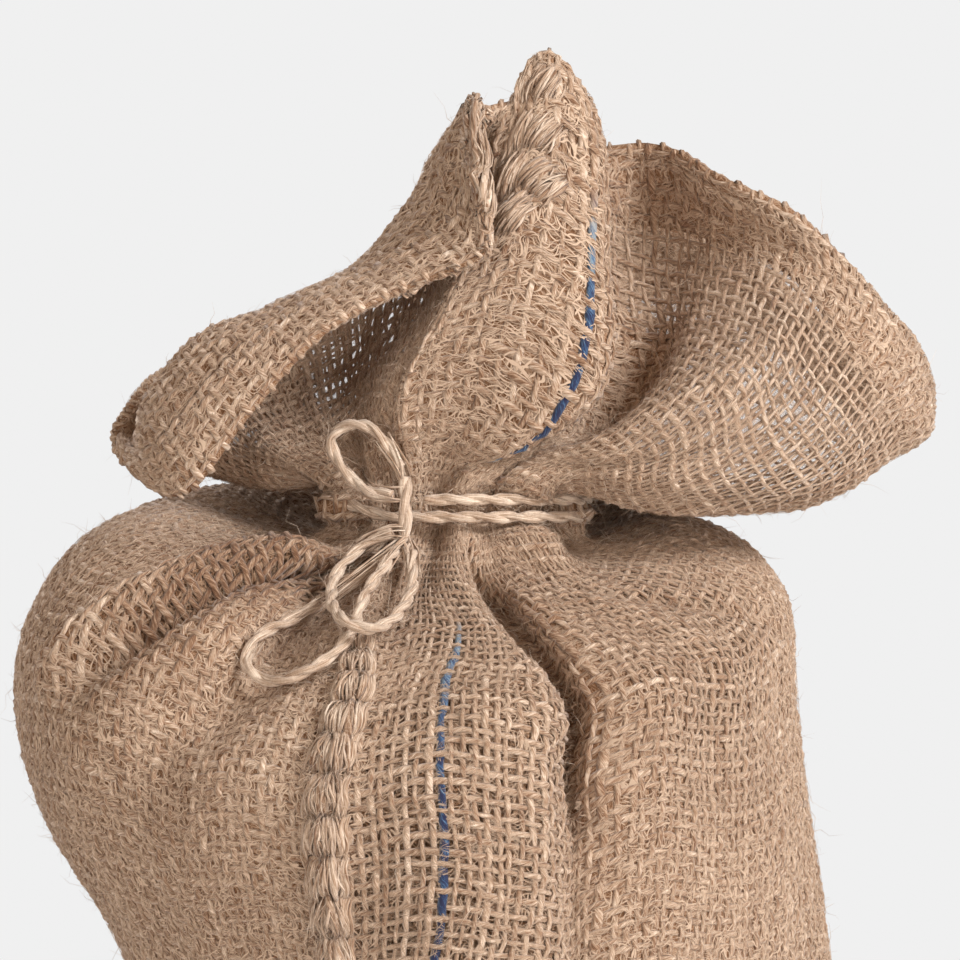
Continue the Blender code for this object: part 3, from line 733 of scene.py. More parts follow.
# The main creases, as troughs (below 0) and ridges along a path of the cloth:
# half width and height in mm, then places and heights above the tie, in mm of cloth
creases = (
    (2.0, -4.0, (42, -9), (50, -28), (48.5, -44), (46.5, -56), (46, -66), (47, -76), (48, -88)),
    (4.0, 1.6, (46, -72), (48.5, -84), (50, -100), (52, -140)),
    (3.2, 2.4, (55, -24), (53, -44), (50.5, -56), (50, -66), (51.5, -78), (53, -88)),
    (6.5, 1.8, (30, -14), (38, -30), (38, -50), (36, -70), (38, -90), (42, -130)),
    (4.2, -7.5, (-20, -10), (-33, -21), (-40, -34), (-44, -49), (-50, -63), (-57, -76)),
    (5.2, 5.0, (-42, -18), (-50, -30), (-54, -44), (-60, -60), (-68, -78)),
    (5.0, 2.6, (-14, -24), (-24, -36), (-32, -50), (-36, -66)),
    (3.0, -1.6, (70, -12), (80, -30), (96, -48), (112, -62)),
    (5.0, 1.4, (60, -14), (70, -34), (80, -56), (86, -80)),
    (3.5, -1.4, (8, -14), (9, -30), (10, -46)),
    (10.0, -6.0, (50, 22), (51, 40), (52, 60), (52, 92)),
    (4.0, 1.5, (64, 14), (70, 30), (78, 48), (84, 66)),
    (4.0, -1.6, (76, 12), (86, 30), (98, 50)),
    (3.0, 1.2, (96, 10), (112, 28), (124, 44)),
)
# Swells of the cloth: place, mm above the tie, half width, half height, height
swells = (
    (-78, 8.5, 30, 4.5, 2.6),
    (-78, -8.5, 30, 4.0, 1.6),
    (62, 8.0, 18, 4.0, 3.0),
    (92, 9.5, 20, 5.0, 3.0),
    (88, 5.0, 22, 3.0, 3.6),
    (76, -8.5, 24, 4.5, 2.9),
    (-84, 0.2, 24, 4.4, 6.2),
    (190, -30, 18, 13, 1.7),
    (126, -0.6, 17, 4.2, 4.8),
    (36, 8.0, 10, 3.5, 1.0),
    (-25, 76, 12, 9, 2.2),
    (13, 78, 7, 8, 1.2),
)


# Added height along the normals: height * exp(-(distance from the path / half width)^2), faded at its ends,
# and the swells
def creased(grid, normals, places, upCloth):
    for width, height, *path in creases:
        placeAt, upAt = np.array(sorted(path, key=lambda point: point[1]), float).T
        margin = np.minimum(upCloth - upAt[0], upAt[-1] - upCloth)
        fade = np.clip(margin / 10.0 + 0.3, 0, 1)
        away = apart(places[:, None], np.interp(upCloth, upAt, placeAt)[None, :])
        grid = grid + (np.exp(-((away / width) ** 2)) * fade * height)[..., None] * normals
    for row in swells:
        grid = grid + spot(places[:, None], upCloth[None, :], row)[..., None] * normals
    return grid


# The whole surface as a fine grid, in three stretches: the base, drawn in to a seam across its middle,
# the wall up to the tie, and the mouth up to the rim
def clothSurface():
    places = np.arange(0, cloth["round"], cloth["fineStep"])
    rows = clothRows(places)
    ringCount = len(bodyRings) + 2
    outline = ringPoints(
        places, cloth["thick"] / 2 - cloth["tieHeight"], 0, 0, 0, foot["middleX"], foot["halfWidth"],
        foot["halfDepth"], foot["seam"], 1, 0,
    )
    rings = np.concatenate([outline[:, None], rows[:, :ringCount]], axis=1)
    wall, wallLength = evenGrid(rings, 500, cloth["wallRows"])
    mouth, mouthLength = evenGrid(rows[:, ringCount - 1 :], 300, cloth["mouthFineRows"])
    inward = np.ones((1, cloth["baseRows"], 3))
    inward[..., 1] = np.linspace(0.02, 1, cloth["baseRows"])
    base = outline[:, None] * inward
    above = softened(np.concatenate([wall, mouth[:, 1:]], axis=1), cloth["softenings"])
    rowCounts = [part.shape[1] - 1 for part in (base, wall, mouth)]
    baseLength = foot["halfDepth"] * 0.8  # an ellipse's mean way from its edge to the seam
    return np.concatenate([base[:, :-1], above], axis=1), rowCounts, (baseLength, wallLength, mouthLength)


surface, stretchRows, stretchLengths = clothSurface()
# mm of cloth above the tie for each of its rows
stretchStarts = np.cumsum([-stretchLengths[0] - stretchLengths[1], stretchLengths[0], stretchLengths[1]])
stretches = zip(stretchStarts, stretchLengths, stretchRows)
upCloth = [start + length * np.arange(count) / count for start, length, count in stretches]
upCloth = np.concatenate([*upCloth, [stretchLengths[2]]])
surface = creased(surface, gridNormals(surface), np.arange(len(surface)) * cloth["fineStep"], upCloth)
surfaceNormals = gridNormals(surface)
surfaceNormals[:, : stretchRows[0] - 1] = (0, 0, -1)


# Points of a fine grid at any place round the cloth and row up it: weights of the four nearest
def onSurface(grid, places, rows):
    column = (places / cloth["fineStep"]) % len(grid)
    row = np.clip(rows, 0, grid.shape[1] - 1.001)
    i, j = np.floor(column).astype(int), np.floor(row).astype(int)
    a, b = (column - i)[..., None], (row - j)[..., None]
    i, k = i % len(grid), (i + 1) % len(grid)
    below, above = (grid[i, at] * (1 - a) + grid[k, at] * a for at in (j, j + 1))
    return below * (1 - b) + above * b


def clothAt(place, up):  # the cloth's points and normals at places round it and mm above the tie
    rows = np.interp(up, upCloth, np.arange(len(upCloth)))
    return onSurface(surface, place, rows), unit(onSurface(surfaceNormals, place, rows))


print("cloth surface made:", [round(float(length)) for length in stretchLengths], "mm")


# The weave

weave = {
    "warpWide": 1.16,
    "weftWide": 1.22,
    "yarnThick": 0.74,
    "crimp": 0.36,  # from the cloth's middle to a yarn's middle at a crossing
    "slip": 0.20,  # how far yarns wander in the cloth, mm
    "spacing": 0.17,  # how unevenly they are spaced, mm
    "jitter": 0.11,  # and from one crossing to the next, mm
    "sides": 5,
    "widthSpread": 0.12,  # between yarns, and in slow waves along each, as shares
    "widthWaves": 0.13,
    "toneSpread": 0.11,
    "toneWaves": 0.10,
    "crowdLimits": (0.42, 1.12),  # the least and most that warps and wefts are squeezed and spread
    "liftLimits": (0.5, 1.15),
    "fuller": 0.16,  # how much wider the yarns are where the cloth is close
    "thinner": 0.38,  # and how much narrower where it is most open
    "waves": 0.12,  # how far the cloth is from flat, mm
    "blueYarn": 18.0,  # mm of cloth to the right of the seam
    "blueReach": 22.0,  # mm of cloth beside it that are drawn aside with it
    "blueWider": (1.3, 1.05),  # under the tie and over it
}
waveLengths = {  # mm
    "warpSlip": (23.0, 61.0),
    "weftSlip": (31.0, 83.0),
    "warpHeight": (17.0, 29.0),
    "weftHeight": (19.0, 37.0),
    "open": (14.0, 37.0),
    "width": (6.0, 13.0, 40.0),
    "tone": (9.0, 40.0),
    "fuzz": (9.0, 17.0),
}
# How the cloth round the blue yarn is drawn aside: mm above the tie, mm aside
drawnAside = (
    (-120, 0), (-98, 2.4), (-79, 0.5), (-66, -1), (-58, -0.5), (-48, 5), (-37, 10), (-20, 9),
    (10, 8), (22, 6), (31, 2.5), (61, 2),
)
# How blue the blue yarn is: mm above the tie, amount
blueAmounts = (
    (-110, 1), (-85, 0.95), (-60, 0.74), (-44, 0.5), (-38, 0.3), (-34, 0), (12, 0), (17, 0.7), (24, 1),
    (40, 0.95), (50, 0.7), (58, 0.4), (65, 0),
)
# Where the weave is open: place, mm above the tie, half width, half height, amount
openSpots = (
    (22, -110, 26, 75, 1.0),
    (24, -30, 20, 24, 1.3),
    (80, -48, 28, 44, 0.85),
    (96, 60, 28, 17, 1.9),
    (116, 52, 22, 20, 1.9),
    (57, 65, 14, 12, 1.9),
    (82, 38, 24, 20, 0.9),
    (-40, 34, 24, 14, 1.6),
    (-100, 34, 26, 14, 1.0),
    (-203, 56, 44, 22, 1.9),
    (-150, 45, 30, 18, 1.2),
    (170, 48, 46, 24, 1.7),
    (-32, -27, 10, 6, 1.8),
    (-54, -42, 14, 34, 0.7),
)
# Painted shade: where the yarns are painted browner to stand for the shade in the cloth's valleys, creases
# and hollows and under the curled rim; a negative amount is painted light: place, mm above the tie, half
# width, half height, amount
paintedShadeSpots = (
    (-40, -33, 9, 12, 0.60),
    (-47, -52, 8, 16, 0.52),
    (-34, -20, 12, 9, 0.12),
    (47, -58, 4, 26, 0.22),
    (52, -26, 5, 14, 0.22),
    (55, 40, 7, 26, 0.25),
    (-205, 40, 38, 24, 0.62),
    (95, 50, 34, 30, -0.14),
    (75, -45, 24, 45, 0.08),
    (12, 45, 14, 30, 0.06),
    (52, 78, 20, 8, 0.20),
)


# Rows of the weft, in rows of the surface's fine grid: even in each stretch
def weftRows():
    rows, start = [], 0.0
    for fineRows, length in zip(stretchRows, stretchLengths):
        count = round(length / cloth["weftPitch"])
        rows.append(start + fineRows * (np.arange(count) + 0.5) / count)
        start += fineRows
    return np.concatenate(rows)


# Each yarn's own steady difference and slow waves along it, for the warps and for the wefts
def yarnNoise(spread, wavelengths, amount):
    warp = chance.normal(0, spread, (warpCount, 1)) + wander(warpCount, rowsUp, wavelengths, amount)
    weft = chance.normal(0, spread, (weftCount, 1)) + wander(weftCount, warpPlaces, wavelengths, amount)
    return warp, weft.T


warpCount = int(round(cloth["round"] / cloth["warpPitch"] / 2)) * 2
warpPlaces = np.arange(warpCount) * cloth["round"] / warpCount + cloth["warpPitch"] / 2
warpPlaces = warpPlaces + chance.normal(0, weave["spacing"], warpCount)
outRows = weftRows()
rim = surface.shape[1] - 1.0
mouthStep = stretchLengths[2] / stretchRows[2]  # mm to a fine row of the mouth
foldCount = round(cloth["hemWidth"] / cloth["weftPitch"])
foldRows = rim - (np.arange(foldCount) + 0.5) * cloth["weftPitch"] / mouthStep
crossRows = np.concatenate([outRows, [rim], foldRows])  # up the cloth, over its edge and down inside the hem
weftCount = len(crossRows)
# 1 outside, 0 on the edge, -1 on the hem's inner layer
layer = np.concatenate([np.ones(len(outRows)), [0.0], -np.ones(foldCount)])
inHem = np.clip((rim - crossRows) * mouthStep, 0, None)
parting = np.clip((cloth["hemWidth"] + cloth["hemSlope"] / 2 - inHem) / cloth["hemSlope"], 0, 1)
hemOffset = cloth["hemHalf"] * parting

# Every crossing of a warp with a weft: its place round the cloth and its fine row, a little uneven
lineUp = np.interp(crossRows, np.arange(surface.shape[1]), upCloth)  # mm of cloth above the tie
asideAt, aside = np.array(drawnAside, float).T
near = np.exp(-((apart(warpPlaces, weave["blueYarn"]) / weave["blueReach"]) ** 2))
drawn = curveThrough(asideAt, aside, np.clip(lineUp, asideAt[0], asideAt[-1]))
places = warpPlaces[:, None] + near[:, None] * drawn[None, :]
rowsUp = np.arange(weftCount) * cloth["weftPitch"]
places = places + wander(warpCount, rowsUp, waveLengths["warpSlip"], weave["slip"])
places = places + chance.normal(0, weave["jitter"], places.shape)
slide = wander(weftCount, warpPlaces, waveLengths["weftSlip"], weave["slip"]).T
slide = slide + chance.normal(0, weave["spacing"], weftCount)
slide = slide + chance.normal(0, weave["jitter"], slide.shape)
rows = crossRows[None, :] + slide * (layer > 0) / cloth["fineStep"]
crossPoints = onSurface(surface, places, rows)
crossNormals = unit(onSurface(surfaceNormals, places, rows))
upward = unit(onSurface(np.gradient(surface, axis=1), places, np.minimum(rows, rim - 2)))

# The cloth isn't flat anywhere: slow waves along the normals. In the hem it is two layers.
bumps = wander(warpCount, rowsUp, waveLengths["warpHeight"], weave["waves"])
bumps = bumps + wander(weftCount, warpPlaces, waveLengths["weftHeight"], weave["waves"]).T
standing = (crossRows > stretchRows[0] + 2)[None, :]  # all but the base, which stays flat
crossPoints = crossPoints + crossNormals * (bumps * standing)[..., None]
crossPoints = crossPoints + crossNormals * (hemOffset * layer)[None, :, None]
outside = np.where(layer < 0, -1.0, 1.0)[None, :, None]
yarnNormals = np.where((layer == 0)[None, :, None], upward, crossNormals * outside)

# Where the cloth is gathered its yarns crowd: how near they are, as a share of the pitch
sideways = np.linalg.norm(np.roll(crossPoints, -1, 0) - np.roll(crossPoints, 1, 0), axis=-1) / 2
upwards = np.linalg.norm(np.gradient(crossPoints, axis=1), axis=-1)
crowd = np.clip(sideways / cloth["warpPitch"], *weave["crowdLimits"])
lift = np.clip(upwards / cloth["weftPitch"], *weave["liftLimits"])
over = np.where((np.arange(warpCount)[:, None] + np.arange(weftCount)[None, :]) % 2 == 0, 1.0, -1.0)
crimp = (weave["crimp"] * np.clip(crowd, 0.5, 1) * over)[..., None]
warpPoints = crossPoints + yarnNormals * crimp
weftPoints = crossPoints - yarnNormals * crimp

isOpen = np.clip(np.max([spot(places, lineUp, row, power=4) for row in openSpots], axis=0), 0.1, 2.0)
isOpen[:, hemOffset > 0] = 0
isOpen = np.clip(isOpen + wander(warpCount, rowsUp, waveLengths["open"], 0.12), 0, 2.0)
fuller = 1 + weave["fuller"] * (1 - np.clip(isOpen, 0, 1)) - weave["thinner"] * np.clip(isOpen - 1, 0, 1)
warpUneven, weftUneven = yarnNoise(weave["widthSpread"], waveLengths["width"], weave["widthWaves"])
warpWidth = weave["warpWide"] * crowd * fuller * np.exp(warpUneven)
weftWidth = weave["weftWide"] * lift * fuller * np.exp(weftUneven)
# Painted shade and light: the table's spots summed, taken off the yarns' tone below, and used again to thin
# the haze and the fuzz
paintedShade = sum(spot(places, lineUp, row) for row in paintedShadeSpots)
warpShade, weftShade = yarnNoise(weave["toneSpread"], waveLengths["tone"], weave["toneWaves"])
warpTone = np.clip(0.5 - paintedShade + warpShade, 0, 1)
weftTone = np.clip(0.55 - paintedShade + weftShade, 0, 1)
blueWarp = int(np.argmin(np.abs(apart(warpPlaces, weave["blueYarn"]))))
warpWidth[blueWarp] *= np.where(lineUp > 0, weave["blueWider"][1], weave["blueWider"][0])
warpDye = np.zeros((warpCount, weftCount))
warpDye[blueWarp] = np.interp(lineUp, *np.array(blueAmounts, float).T)


# A panel of the weave: a stretch of warps and the wefts across them, as tubes through the crossings. A yarn's
# thickness goes with the square root of its width.
def panel(name, first, last):
    columns = np.arange(first, last)
    wide = np.arange(first, last + 1) % warpCount  # the wefts reach the next panel's first warp
    whole = layer != 0  # no weft lies on the very edge
    thick = weave["yarnThick"] * np.sqrt(warpWidth[columns] / weave["warpWide"])
    warps = tubes(
        warpPoints[columns], yarnNormals[columns], warpWidth[columns], thick, weave["sides"],
        warpTone[columns], warpDye[columns],
    )
    points, normals = (np.swapaxes(part[wide], 0, 1)[whole] for part in (weftPoints, yarnNormals))
    width, tone = weftWidth[wide].T[whole], weftTone[wide].T[whole]
    thick = weave["yarnThick"] * np.sqrt(width / weave["weftWide"])
    wefts = tubes(points, normals, width, thick, weave["sides"], tone)
    return pieceFrom(name, joined([warps, wefts]), yarnJute)


clothLength = (sum(stretchLengths) + cloth["hemWidth"]) * mm
quarters = ("front_right", "back_right", "back_left", "front_left")  # round from the seam
for k, name in enumerate(quarters):
    piece = panel("cloth_" + name, round(k / 4 * warpCount), round((k + 1) / 4 * warpCount))
    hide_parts("sack_cloth")
print("weave made")


# The haze: a see-through sheet in the middle of the weave for the fibres that fill its gaps, coloured dark
# brown partly for those fibres and partly as painted shade in the gaps, and two of thinner fuzz, over the
# outer and the inner face

haze = {
    "close": 0.80,  # how full the sheet is where the weave is close
    "open": 0.44,
    "deep": 0.26,  # mm behind the yarns' middle where the weave is open
    "fuzzOut": 0.62,  # mm from the cloth's middle to the fuzz
    "fuzz": 0.38,
    "fuzzClose": 0.24,  # how much more of it lies on a close weave
    "innerFrom": -8.0,  # mm above the tie, where the inner fuzz starts
}
# Where the face is felted: place, mm above the tie, half width, half height, amount
feltedSpots = (
    (8, 48, 17, 32, 0.40),
    (-34, 62, 22, 18, 0.20),
    (-45, 14, 30, 10, 0.10),
    (-62, -95, 40, 50, 0.12),
    (30, 8, 30, 10, 0.30),
    (-4, -80, 9, 60, 0.30),
)


# A sheet from a grid of points that closes along its first axis. UV is in mm, and runs on past the join.
def gridShape(points, uv, amount):
    index = np.arange(amount.size).reshape(amount.shape)
    following = np.roll(index, -1, axis=0)
    quads = np.stack([index[:, :-1], following[:, :-1], following[:, 1:], index[:, 1:]], axis=-1)
    quads = quads.reshape(-1, 4)
    corners = uv.reshape(-1, 2)[quads]
    wrapped = corners[:, 0, 0] - corners[:, 1, 0] > cloth["round"] / 2
    corners[wrapped, 1:3, 0] += cloth["round"]
    return {
        "points": points.reshape(-1, 3), "quads": quads, "threes": noFace,
        "uv": corners.reshape(-1, 2), "values": {"haze": amount.reshape(-1)},
    }


hazeUv = np.stack(np.broadcast_arrays(warpPlaces[:, None], rowsUp[None, :]), axis=-1)
full = np.clip(haze["close"] + (haze["open"] - haze["close"]) * isOpen, 0.02, 1)
# Where shade is painted on the yarns, the haze is a little thinner
full = full * (1 - np.clip(0.3 * paintedShade, 0, 0.2))
deep = 0.02 + haze["deep"] * np.clip(isOpen, 0, 1)
hazeShape = gridShape(crossPoints - yarnNormals * deep[..., None], hazeUv, full)
hazePiece = pieceFrom("cloth_haze", hazeShape, hazeJute)
felted = sum(spot(places, lineUp, row) for row in feltedSpots)
fuzzy = haze["fuzz"] + haze["fuzzClose"] * (1 - isOpen) + felted
# Painted shade: the pale fuzz is thinned where shade is painted, so those places look darker
fuzzy = np.clip(fuzzy * (1 - np.clip(1.8 * paintedShade, 0, 0.8)), 0.03, 1)
fuzzPieces = []
innerRows = (int(np.searchsorted(lineUp[: len(outRows)], haze["innerFrom"])), len(outRows))
for name, side, (first, last) in (("outer_fuzz", 1, (0, weftCount)), ("inner_fuzz", -1, innerRows)):
    away = side * haze["fuzzOut"] + wander(warpCount, rowsUp, waveLengths["fuzz"], 0.12)
    points = np.maximum(crossPoints + yarnNormals * away[..., None], aboveFloor(0.15))
    every = slice(None, None, 2), slice(first, last, 2)  # each second crossing will do
    shape = gridShape(points[every], hazeUv[every] + (37.0, 11.0), fuzzy[every])
    fuzzPieces.append(pieceFrom(name, shape, fuzzJute))
for piece in (hazePiece, *fuzzPieces):
    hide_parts("sack_cloth")
print("haze made")


# The side seam's overcasting: tufts of fibre over the ridge, with three strands that slant up beside each.
# Along the mouth's curled edge the same tufts sit across the rim.

seamStitch = {
    "pitch": 7.8,
    "strands": ((12, 1.15, 1.15, 0.42), (37, 0.42, 1.9, 0.58)),  # how many, how thick, how proud, tone
    "halfWide": 3.5,  # of a tuft, across the seam
    "halfTall": 4.1,
    "steps": 6,
    "sway": 0.42,  # how far a strand strays, mm
    "uneven": 0.45,  # how far strands and tufts are from even places, mm
    "bodyFrom": -42.0,  # mm of cloth above the tie, from the first tuft down to the foot
    "rimFrom": 410.0,  # the curled edge's tufts, in mm of cloth round the sack
    "rimTo": 456.0,
    "rimPitch": 6.6,
    "rimDrop": 3.2,
    "rimSize": 1.05,
    "endSize": 0.85,
    # the rolled end's tufts: place, mm above the tie
    "rolledEnd": ((6, 79), (12, 77), (6.5, 71), (12.5, 69), (7, 63), (13, 61), (9, 55)),
    "slants": (-0.5, 0.0, 0.5),  # mm from the middle one of a tuft's slanting strands
    "slantSteps": 9,
    "slantThick": 0.85,
    "slantTone": 0.62,
}


# A tuft's strands, with t from top to foot and fan a strand's place across the tuft:
# across = fan * (0.7 + 0.42 t) + sway - 0.3, along = tall * (1 - 2 t) + 0.4 fan / halfWide. A strand stands
# off the cloth by 0.2 + raised * size * dome * sin(pi t)^0.7, where dome = sqrt(1 - 0.8 (fan / halfWide)^2).
# What would pass the rim folds over it, down the cloth's inner side.
def tufts(placeAt, upAt, turned, size, strands, thick, raised, shade):
    count = len(placeAt)
    each = (count, strands, 1)
    t = np.linspace(0, 1, seamStitch["steps"])[None, None, :]
    bulge = np.sin(math.pi * t)
    fan = np.linspace(-1, 1, strands)[None, :, None] * seamStitch["halfWide"]
    fan = fan * chance.uniform(0.85, 1.1, (count, 1, 1)) * size + chance.normal(0, seamStitch["uneven"], each)
    sway = chance.normal(0, seamStitch["sway"], each)
    sway = sway * np.sin(chance.uniform(2, 5, each) * t + chance.uniform(0, 6, each))
    across = fan * (0.70 + 0.42 * t) + sway - 0.3
    tall = seamStitch["halfTall"] * size * chance.uniform(0.6, 1.12, each)
    along = tall * (1 - 2 * t) + 0.4 * fan / seamStitch["halfWide"] + chance.normal(0, 0.35, each)
    dome = np.sqrt(np.clip(1 - (fan / seamStitch["halfWide"] / size) ** 2 * 0.8, 0.04, 1))
    proud = 0.2 + raised * size * dome * bulge**0.7 + chance.normal(0, 0.30, each)
    turned = np.broadcast_to(np.asarray(turned, float), (count,))[:, None, None]
    place = placeAt[:, None, None] + across * np.cos(turned) - along * np.sin(turned)
    up = upAt[:, None, None] + across * np.sin(turned) + along * np.cos(turned)
    past = np.clip(up - stretchLengths[2], 0, None)
    points, normals = clothAt(place, np.where(past > 0, stretchLengths[2] - past, up))
    normals = normals * np.where(past > 0, -1.0, 1.0)[..., None]
    points = points + normals * proud[..., None]
    wide = thick * (0.6 + 0.6 * bulge**0.5) * chance.uniform(0.65, 1.35, each)
    tone = np.clip(chance.normal(shade, 0.16, each) + 0.16 * bulge - 0.08, 0, 1)
    flat = (count * strands, seamStitch["steps"])
    points, normals = points.reshape(*flat, 3), normals.reshape(*flat, 3)
    return tubes(points, normals, wide.reshape(flat), 0.8 * wide.reshape(flat), 4, tone.reshape(flat))


# The slanting strands beside each tuft, with t from foot to top:
# across = 2.5 + slant + 1.3 t + 0.45 sin(2 pi t), up = 8 t - 3.8, and off the cloth by 0.4 + 0.9 sin(pi t)
def slantStrands(starts):
    t = np.linspace(0, 1, seamStitch["slantSteps"])[None, :]
    base = np.repeat(starts, len(seamStitch["slants"]))[:, None] - 3.8
    beside = np.tile(seamStitch["slants"], len(starts))[:, None]
    across = 2.5 + beside + 1.3 * t + 0.45 * np.sin(2 * math.pi * t) + chance.normal(0, 0.12, base.shape)
    points, normals = clothAt(across, base + 8.0 * t)
    points = points + normals * (0.4 + 0.9 * np.sin(math.pi * t))[..., None]
    wide = seamStitch["slantThick"] * (0.6 + 0.4 * np.sin(math.pi * t)) * chance.uniform(0.8, 1.2, base.shape)
    tone = np.clip(seamStitch["slantTone"] + chance.normal(0, 0.08, base.shape), 0, 1)
    return tubes(points, normals, wide, 0.85 * wide, 6, np.broadcast_to(tone, wide.shape))


def seamShape():  # the tufts down the body, those across the rim, and the mouth's rolled end
    down = np.arange(seamStitch["bodyFrom"], -stretchLengths[1] + 4, -seamStitch["pitch"])
    down = down + chance.normal(0, seamStitch["uneven"], len(down))
    rimPlaces = np.arange(seamStitch["rimFrom"], seamStitch["rimTo"], seamStitch["rimPitch"])
    rimUps = np.full(len(rimPlaces), stretchLengths[2] - seamStitch["rimDrop"])
    rolledEnd = np.array(seamStitch["rolledEnd"], float).T
    rimTurns = chance.uniform(0.25, 0.6, len(rimPlaces))
    endTurns = chance.uniform(-0.9, -0.5, len(rolledEnd[0]))
    parts = [slantStrands(down)]
    for strands in seamStitch["strands"]:
        parts.append(tufts(np.zeros(len(down)), down, 0.0, 1.0, *strands))
        parts.append(tufts(rimPlaces, rimUps, rimTurns, seamStitch["rimSize"], *strands))
        parts.append(tufts(*rolledEnd, endTurns, seamStitch["endSize"], *strands))
    return joined(parts)


pieceFrom("seam_stitches", seamShape(), stitchJute)
print("seam made")


# Loose fibres all over the cloth and the twine

fuzz = {
    "clothHairs": 4700,
    "twineHairs": 1200,
    "seamHairs": 1300,
    "thick": 0.085,
    "steps": 4,
    "frontShare": 0.78,  # of the cloth's hairs, from 120 mm left of the seam to 135 mm right of it
    "mouthShare": 0.45,  # of them, over the tie
    "innerShare": 0.35,  # of those, inside the mouth
    "clothLength": 3.4,  # mm, of a middling hair
    "seamLength": 3.0,
    "twineLength": 3.2,
    "knotStrands": 12,
    "knotSteps": 8,
    "knotReach": 7.0,
    "knotThick": 0.42,
}


def hairLengths(middling, spread, count):  # the middling length times e to a normal draw
    return np.exp(chance.normal(math.log(middling), spread, count))


# A hair starts at a point, heads off at a slant and curls:
# point + length * (heading * t + curl * 0.45 t^2 + wave * 0.1 sin(2 pi t)), pushed out of what it grows on
def hairs(starts, normals, headings, lengths, lift):
    count = len(starts)
    t = np.linspace(0, 1, fuzz["steps"])[None, :, None]
    size = lengths[:, None, None]
    curl = unit(chance.normal(0, 1, (count, 3)) + normals * 0.2)[:, None, :]
    wave = unit(chance.normal(0, 1, (count, 3)))[:, None, :]
    heading = unit(headings + normals * lift[:, None])
    path = heading[:, None, :] * t + curl * 0.45 * t**2 + wave * 0.10 * np.sin(2 * math.pi * t)
    points = starts[:, None, :] + size * path
    depth = ((points - starts[:, None, :]) * normals[:, None, :]).sum(axis=-1)
    points = points + normals[:, None, :] * np.clip(0.1 - depth, 0, None)[..., None]
    points = np.maximum(points, aboveFloor(0.12))
    wide = fuzz["thick"] * (1.15 - t[..., 0]) * chance.uniform(0.7, 1.3, (count, 1))
    side = unit(np.cross(heading, normals) + chance.normal(0, 0.1, (count, 3)))
    upward = np.broadcast_to(np.cross(side, heading)[:, None, :], points.shape)
    tone = np.broadcast_to(np.clip(chance.normal(0.55, 0.2, (count, 1)), 0, 1), wide.shape)
    return tubes(points, upward, wide, wide, 3, tone)


def clothHairs():  # flat on the cloth in any direction, most of them where the sack's front and mouth are
    count = fuzz["clothHairs"]
    front = chance.random(count) < fuzz["frontShare"]
    place = np.where(front, chance.uniform(-120, 135, count), chance.uniform(135, 340, count))
    overTie = chance.random(count) < fuzz["mouthShare"]
    high = chance.uniform(2, stretchLengths[2], count)
    up = np.where(overTie, high, chance.uniform(-stretchLengths[1], -2, count))
    starts, normals = clothAt(place, up)
    inner = (up > 4) & (chance.random(count) < fuzz["innerShare"])
    normals = np.where(inner[:, None], -normals, normals)
    heading = chance.normal(0, 1, (count, 3))
    heading = unit(heading - normals * (heading * normals).sum(axis=-1, keepdims=True))
    lengths = hairLengths(fuzz["clothLength"], 0.4, count)
    return hairs(starts + normals * 0.45, normals, heading, lengths, chance.uniform(0.02, 0.55, count))


def seamHairs():  # down the seam's ridge, out to 2.3 * exp(-(place / 3.2)^2) over the cloth
    count = fuzz["seamHairs"]
    up = chance.uniform(-stretchLengths[1], seamStitch["bodyFrom"] + 4, count)
    place = chance.normal(-0.3, 2.2, count)
    starts, normals = clothAt(place, up)
    starts = starts + normals * (2.3 * np.exp(-((place / 3.2) ** 2)))[:, None]
    heading = chance.normal(0, 0.6, (count, 3)) + (0, 0, -1.0)
    lengths = hairLengths(fuzz["seamLength"], 0.35, count)
    return hairs(starts, normals, heading, lengths, chance.uniform(0.0, 0.5, count))


def twineHairs():  # along each stretch of twine, either way, from points all round it
    parts = []
    total = sum(len(path) for path in twinePaths.values())
    for path in twinePaths.values():
        count = int(fuzz["twineHairs"] * len(path) / total)
        pick = chance.integers(2, len(path) - 2, count)
        side, up = sidesOf(path)
        angle = chance.uniform(0, 2 * math.pi, (count, 1))
        outward = side[pick] * np.cos(angle) + up[pick] * np.sin(angle)
        along = unit(np.gradient(path, axis=0))[pick] * np.where(chance.random(count) < 0.5, -1, 1)[:, None]
        lengths = hairLengths(fuzz["twineLength"], 0.35, count)
        starts = path[pick] + outward * 1.25
        parts.append(hairs(starts, outward, along, lengths, chance.uniform(0.1, 0.7, count)))
    return joined(parts)


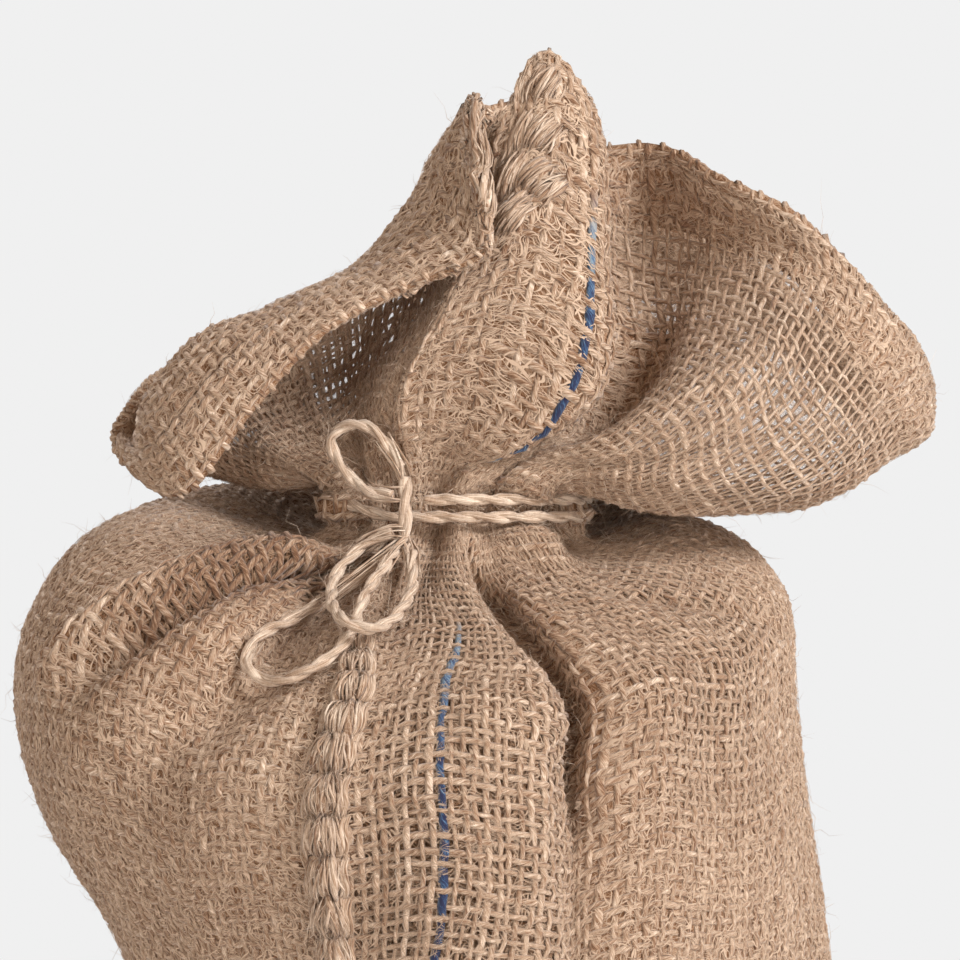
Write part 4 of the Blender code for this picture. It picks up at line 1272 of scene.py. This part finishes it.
# Frayed strands that run from the knot on to each end of each loop, wound a little round the twine:
# centre + radius * (side * cos(angle) + up * sin(angle)), where the angle drifts along the strand
def knotStrands():
    parts = []
    knot = twinePaths["tie_knot"]
    share = np.linspace(0, 1, fuzz["knotSteps"])
    loops = [path for name, path in twinePaths.items() if name.startswith("bow_loop")]
    for line in (path[::way] for path in loops for way in (1, -1)):
        root = knot[np.argmin(np.linalg.norm(knot - line[0], axis=1))]
        centre = np.concatenate([root[None], line[lengthsAlong(line) < fuzz["knotReach"]]])
        centre = pointsAt(centre, share * lengthsAlong(centre)[-1])
        side, up = sidesOf(centre)
        each = (fuzz["knotStrands"], 1)
        angle = chance.uniform(0, 2 * math.pi, each) + chance.normal(0, 0.8, each) * share
        outward = side * np.cos(angle)[..., None] + up * np.sin(angle)[..., None]
        radius = 1.15 + chance.uniform(0, 0.3, each) + 0.5 * share**3 * chance.uniform(0, 1, each)
        wide = fuzz["knotThick"] * (1.1 - 0.8 * share) * chance.uniform(0.7, 1.2, each)
        tone = np.broadcast_to(np.clip(chance.normal(0.55, 0.14, each), 0, 1), wide.shape)
        parts.append(tubes(centre + outward * radius[..., None], outward, wide, wide, 4, tone))
    return joined(parts)


pieceFrom("loose_fibres", joined([clothHairs(), seamHairs()]), hairJute)
pieceFrom("twine_fibres", joined([twineHairs(), knotStrands()]), hairJute)
print("loose fibres made")


# Floor

floor = {"radius": 0.7, "below": 0.0003, "sides": 96, "colour": (0.82, 0.82, 0.82, 1), "roughness": 0.7}
angles = np.linspace(0, 2 * math.pi, floor["sides"], endpoint=False)
rimPoints = [(floor["radius"] * math.cos(a), floor["radius"] * math.sin(a), -floor["below"]) for a in angles]
floorMesh = bpy.data.meshes.new("floor")
floorMesh.from_pydata(rimPoints, [], [tuple(range(floor["sides"]))])
floorPiece = bpy.data.objects.new("floor", floorMesh)
floorMaterial = bpy.data.materials.new("pale_floor")
floorMaterial.use_nodes = True
floorShader = floorMaterial.node_tree.nodes["Principled BSDF"]
floorShader.inputs["Base Color"].default_value = floor["colour"]
floorShader.inputs["Roughness"].default_value = floor["roughness"]
floorMesh.materials.append(floorMaterial)
bpy.context.collection.objects.link(floorPiece)
floorPiece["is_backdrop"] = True

visualBox = [list(map(float, corner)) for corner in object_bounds()]
print("sizes written:", [[round(v * 1000, 1) for v in corner] for corner in cadBox + visualBox])
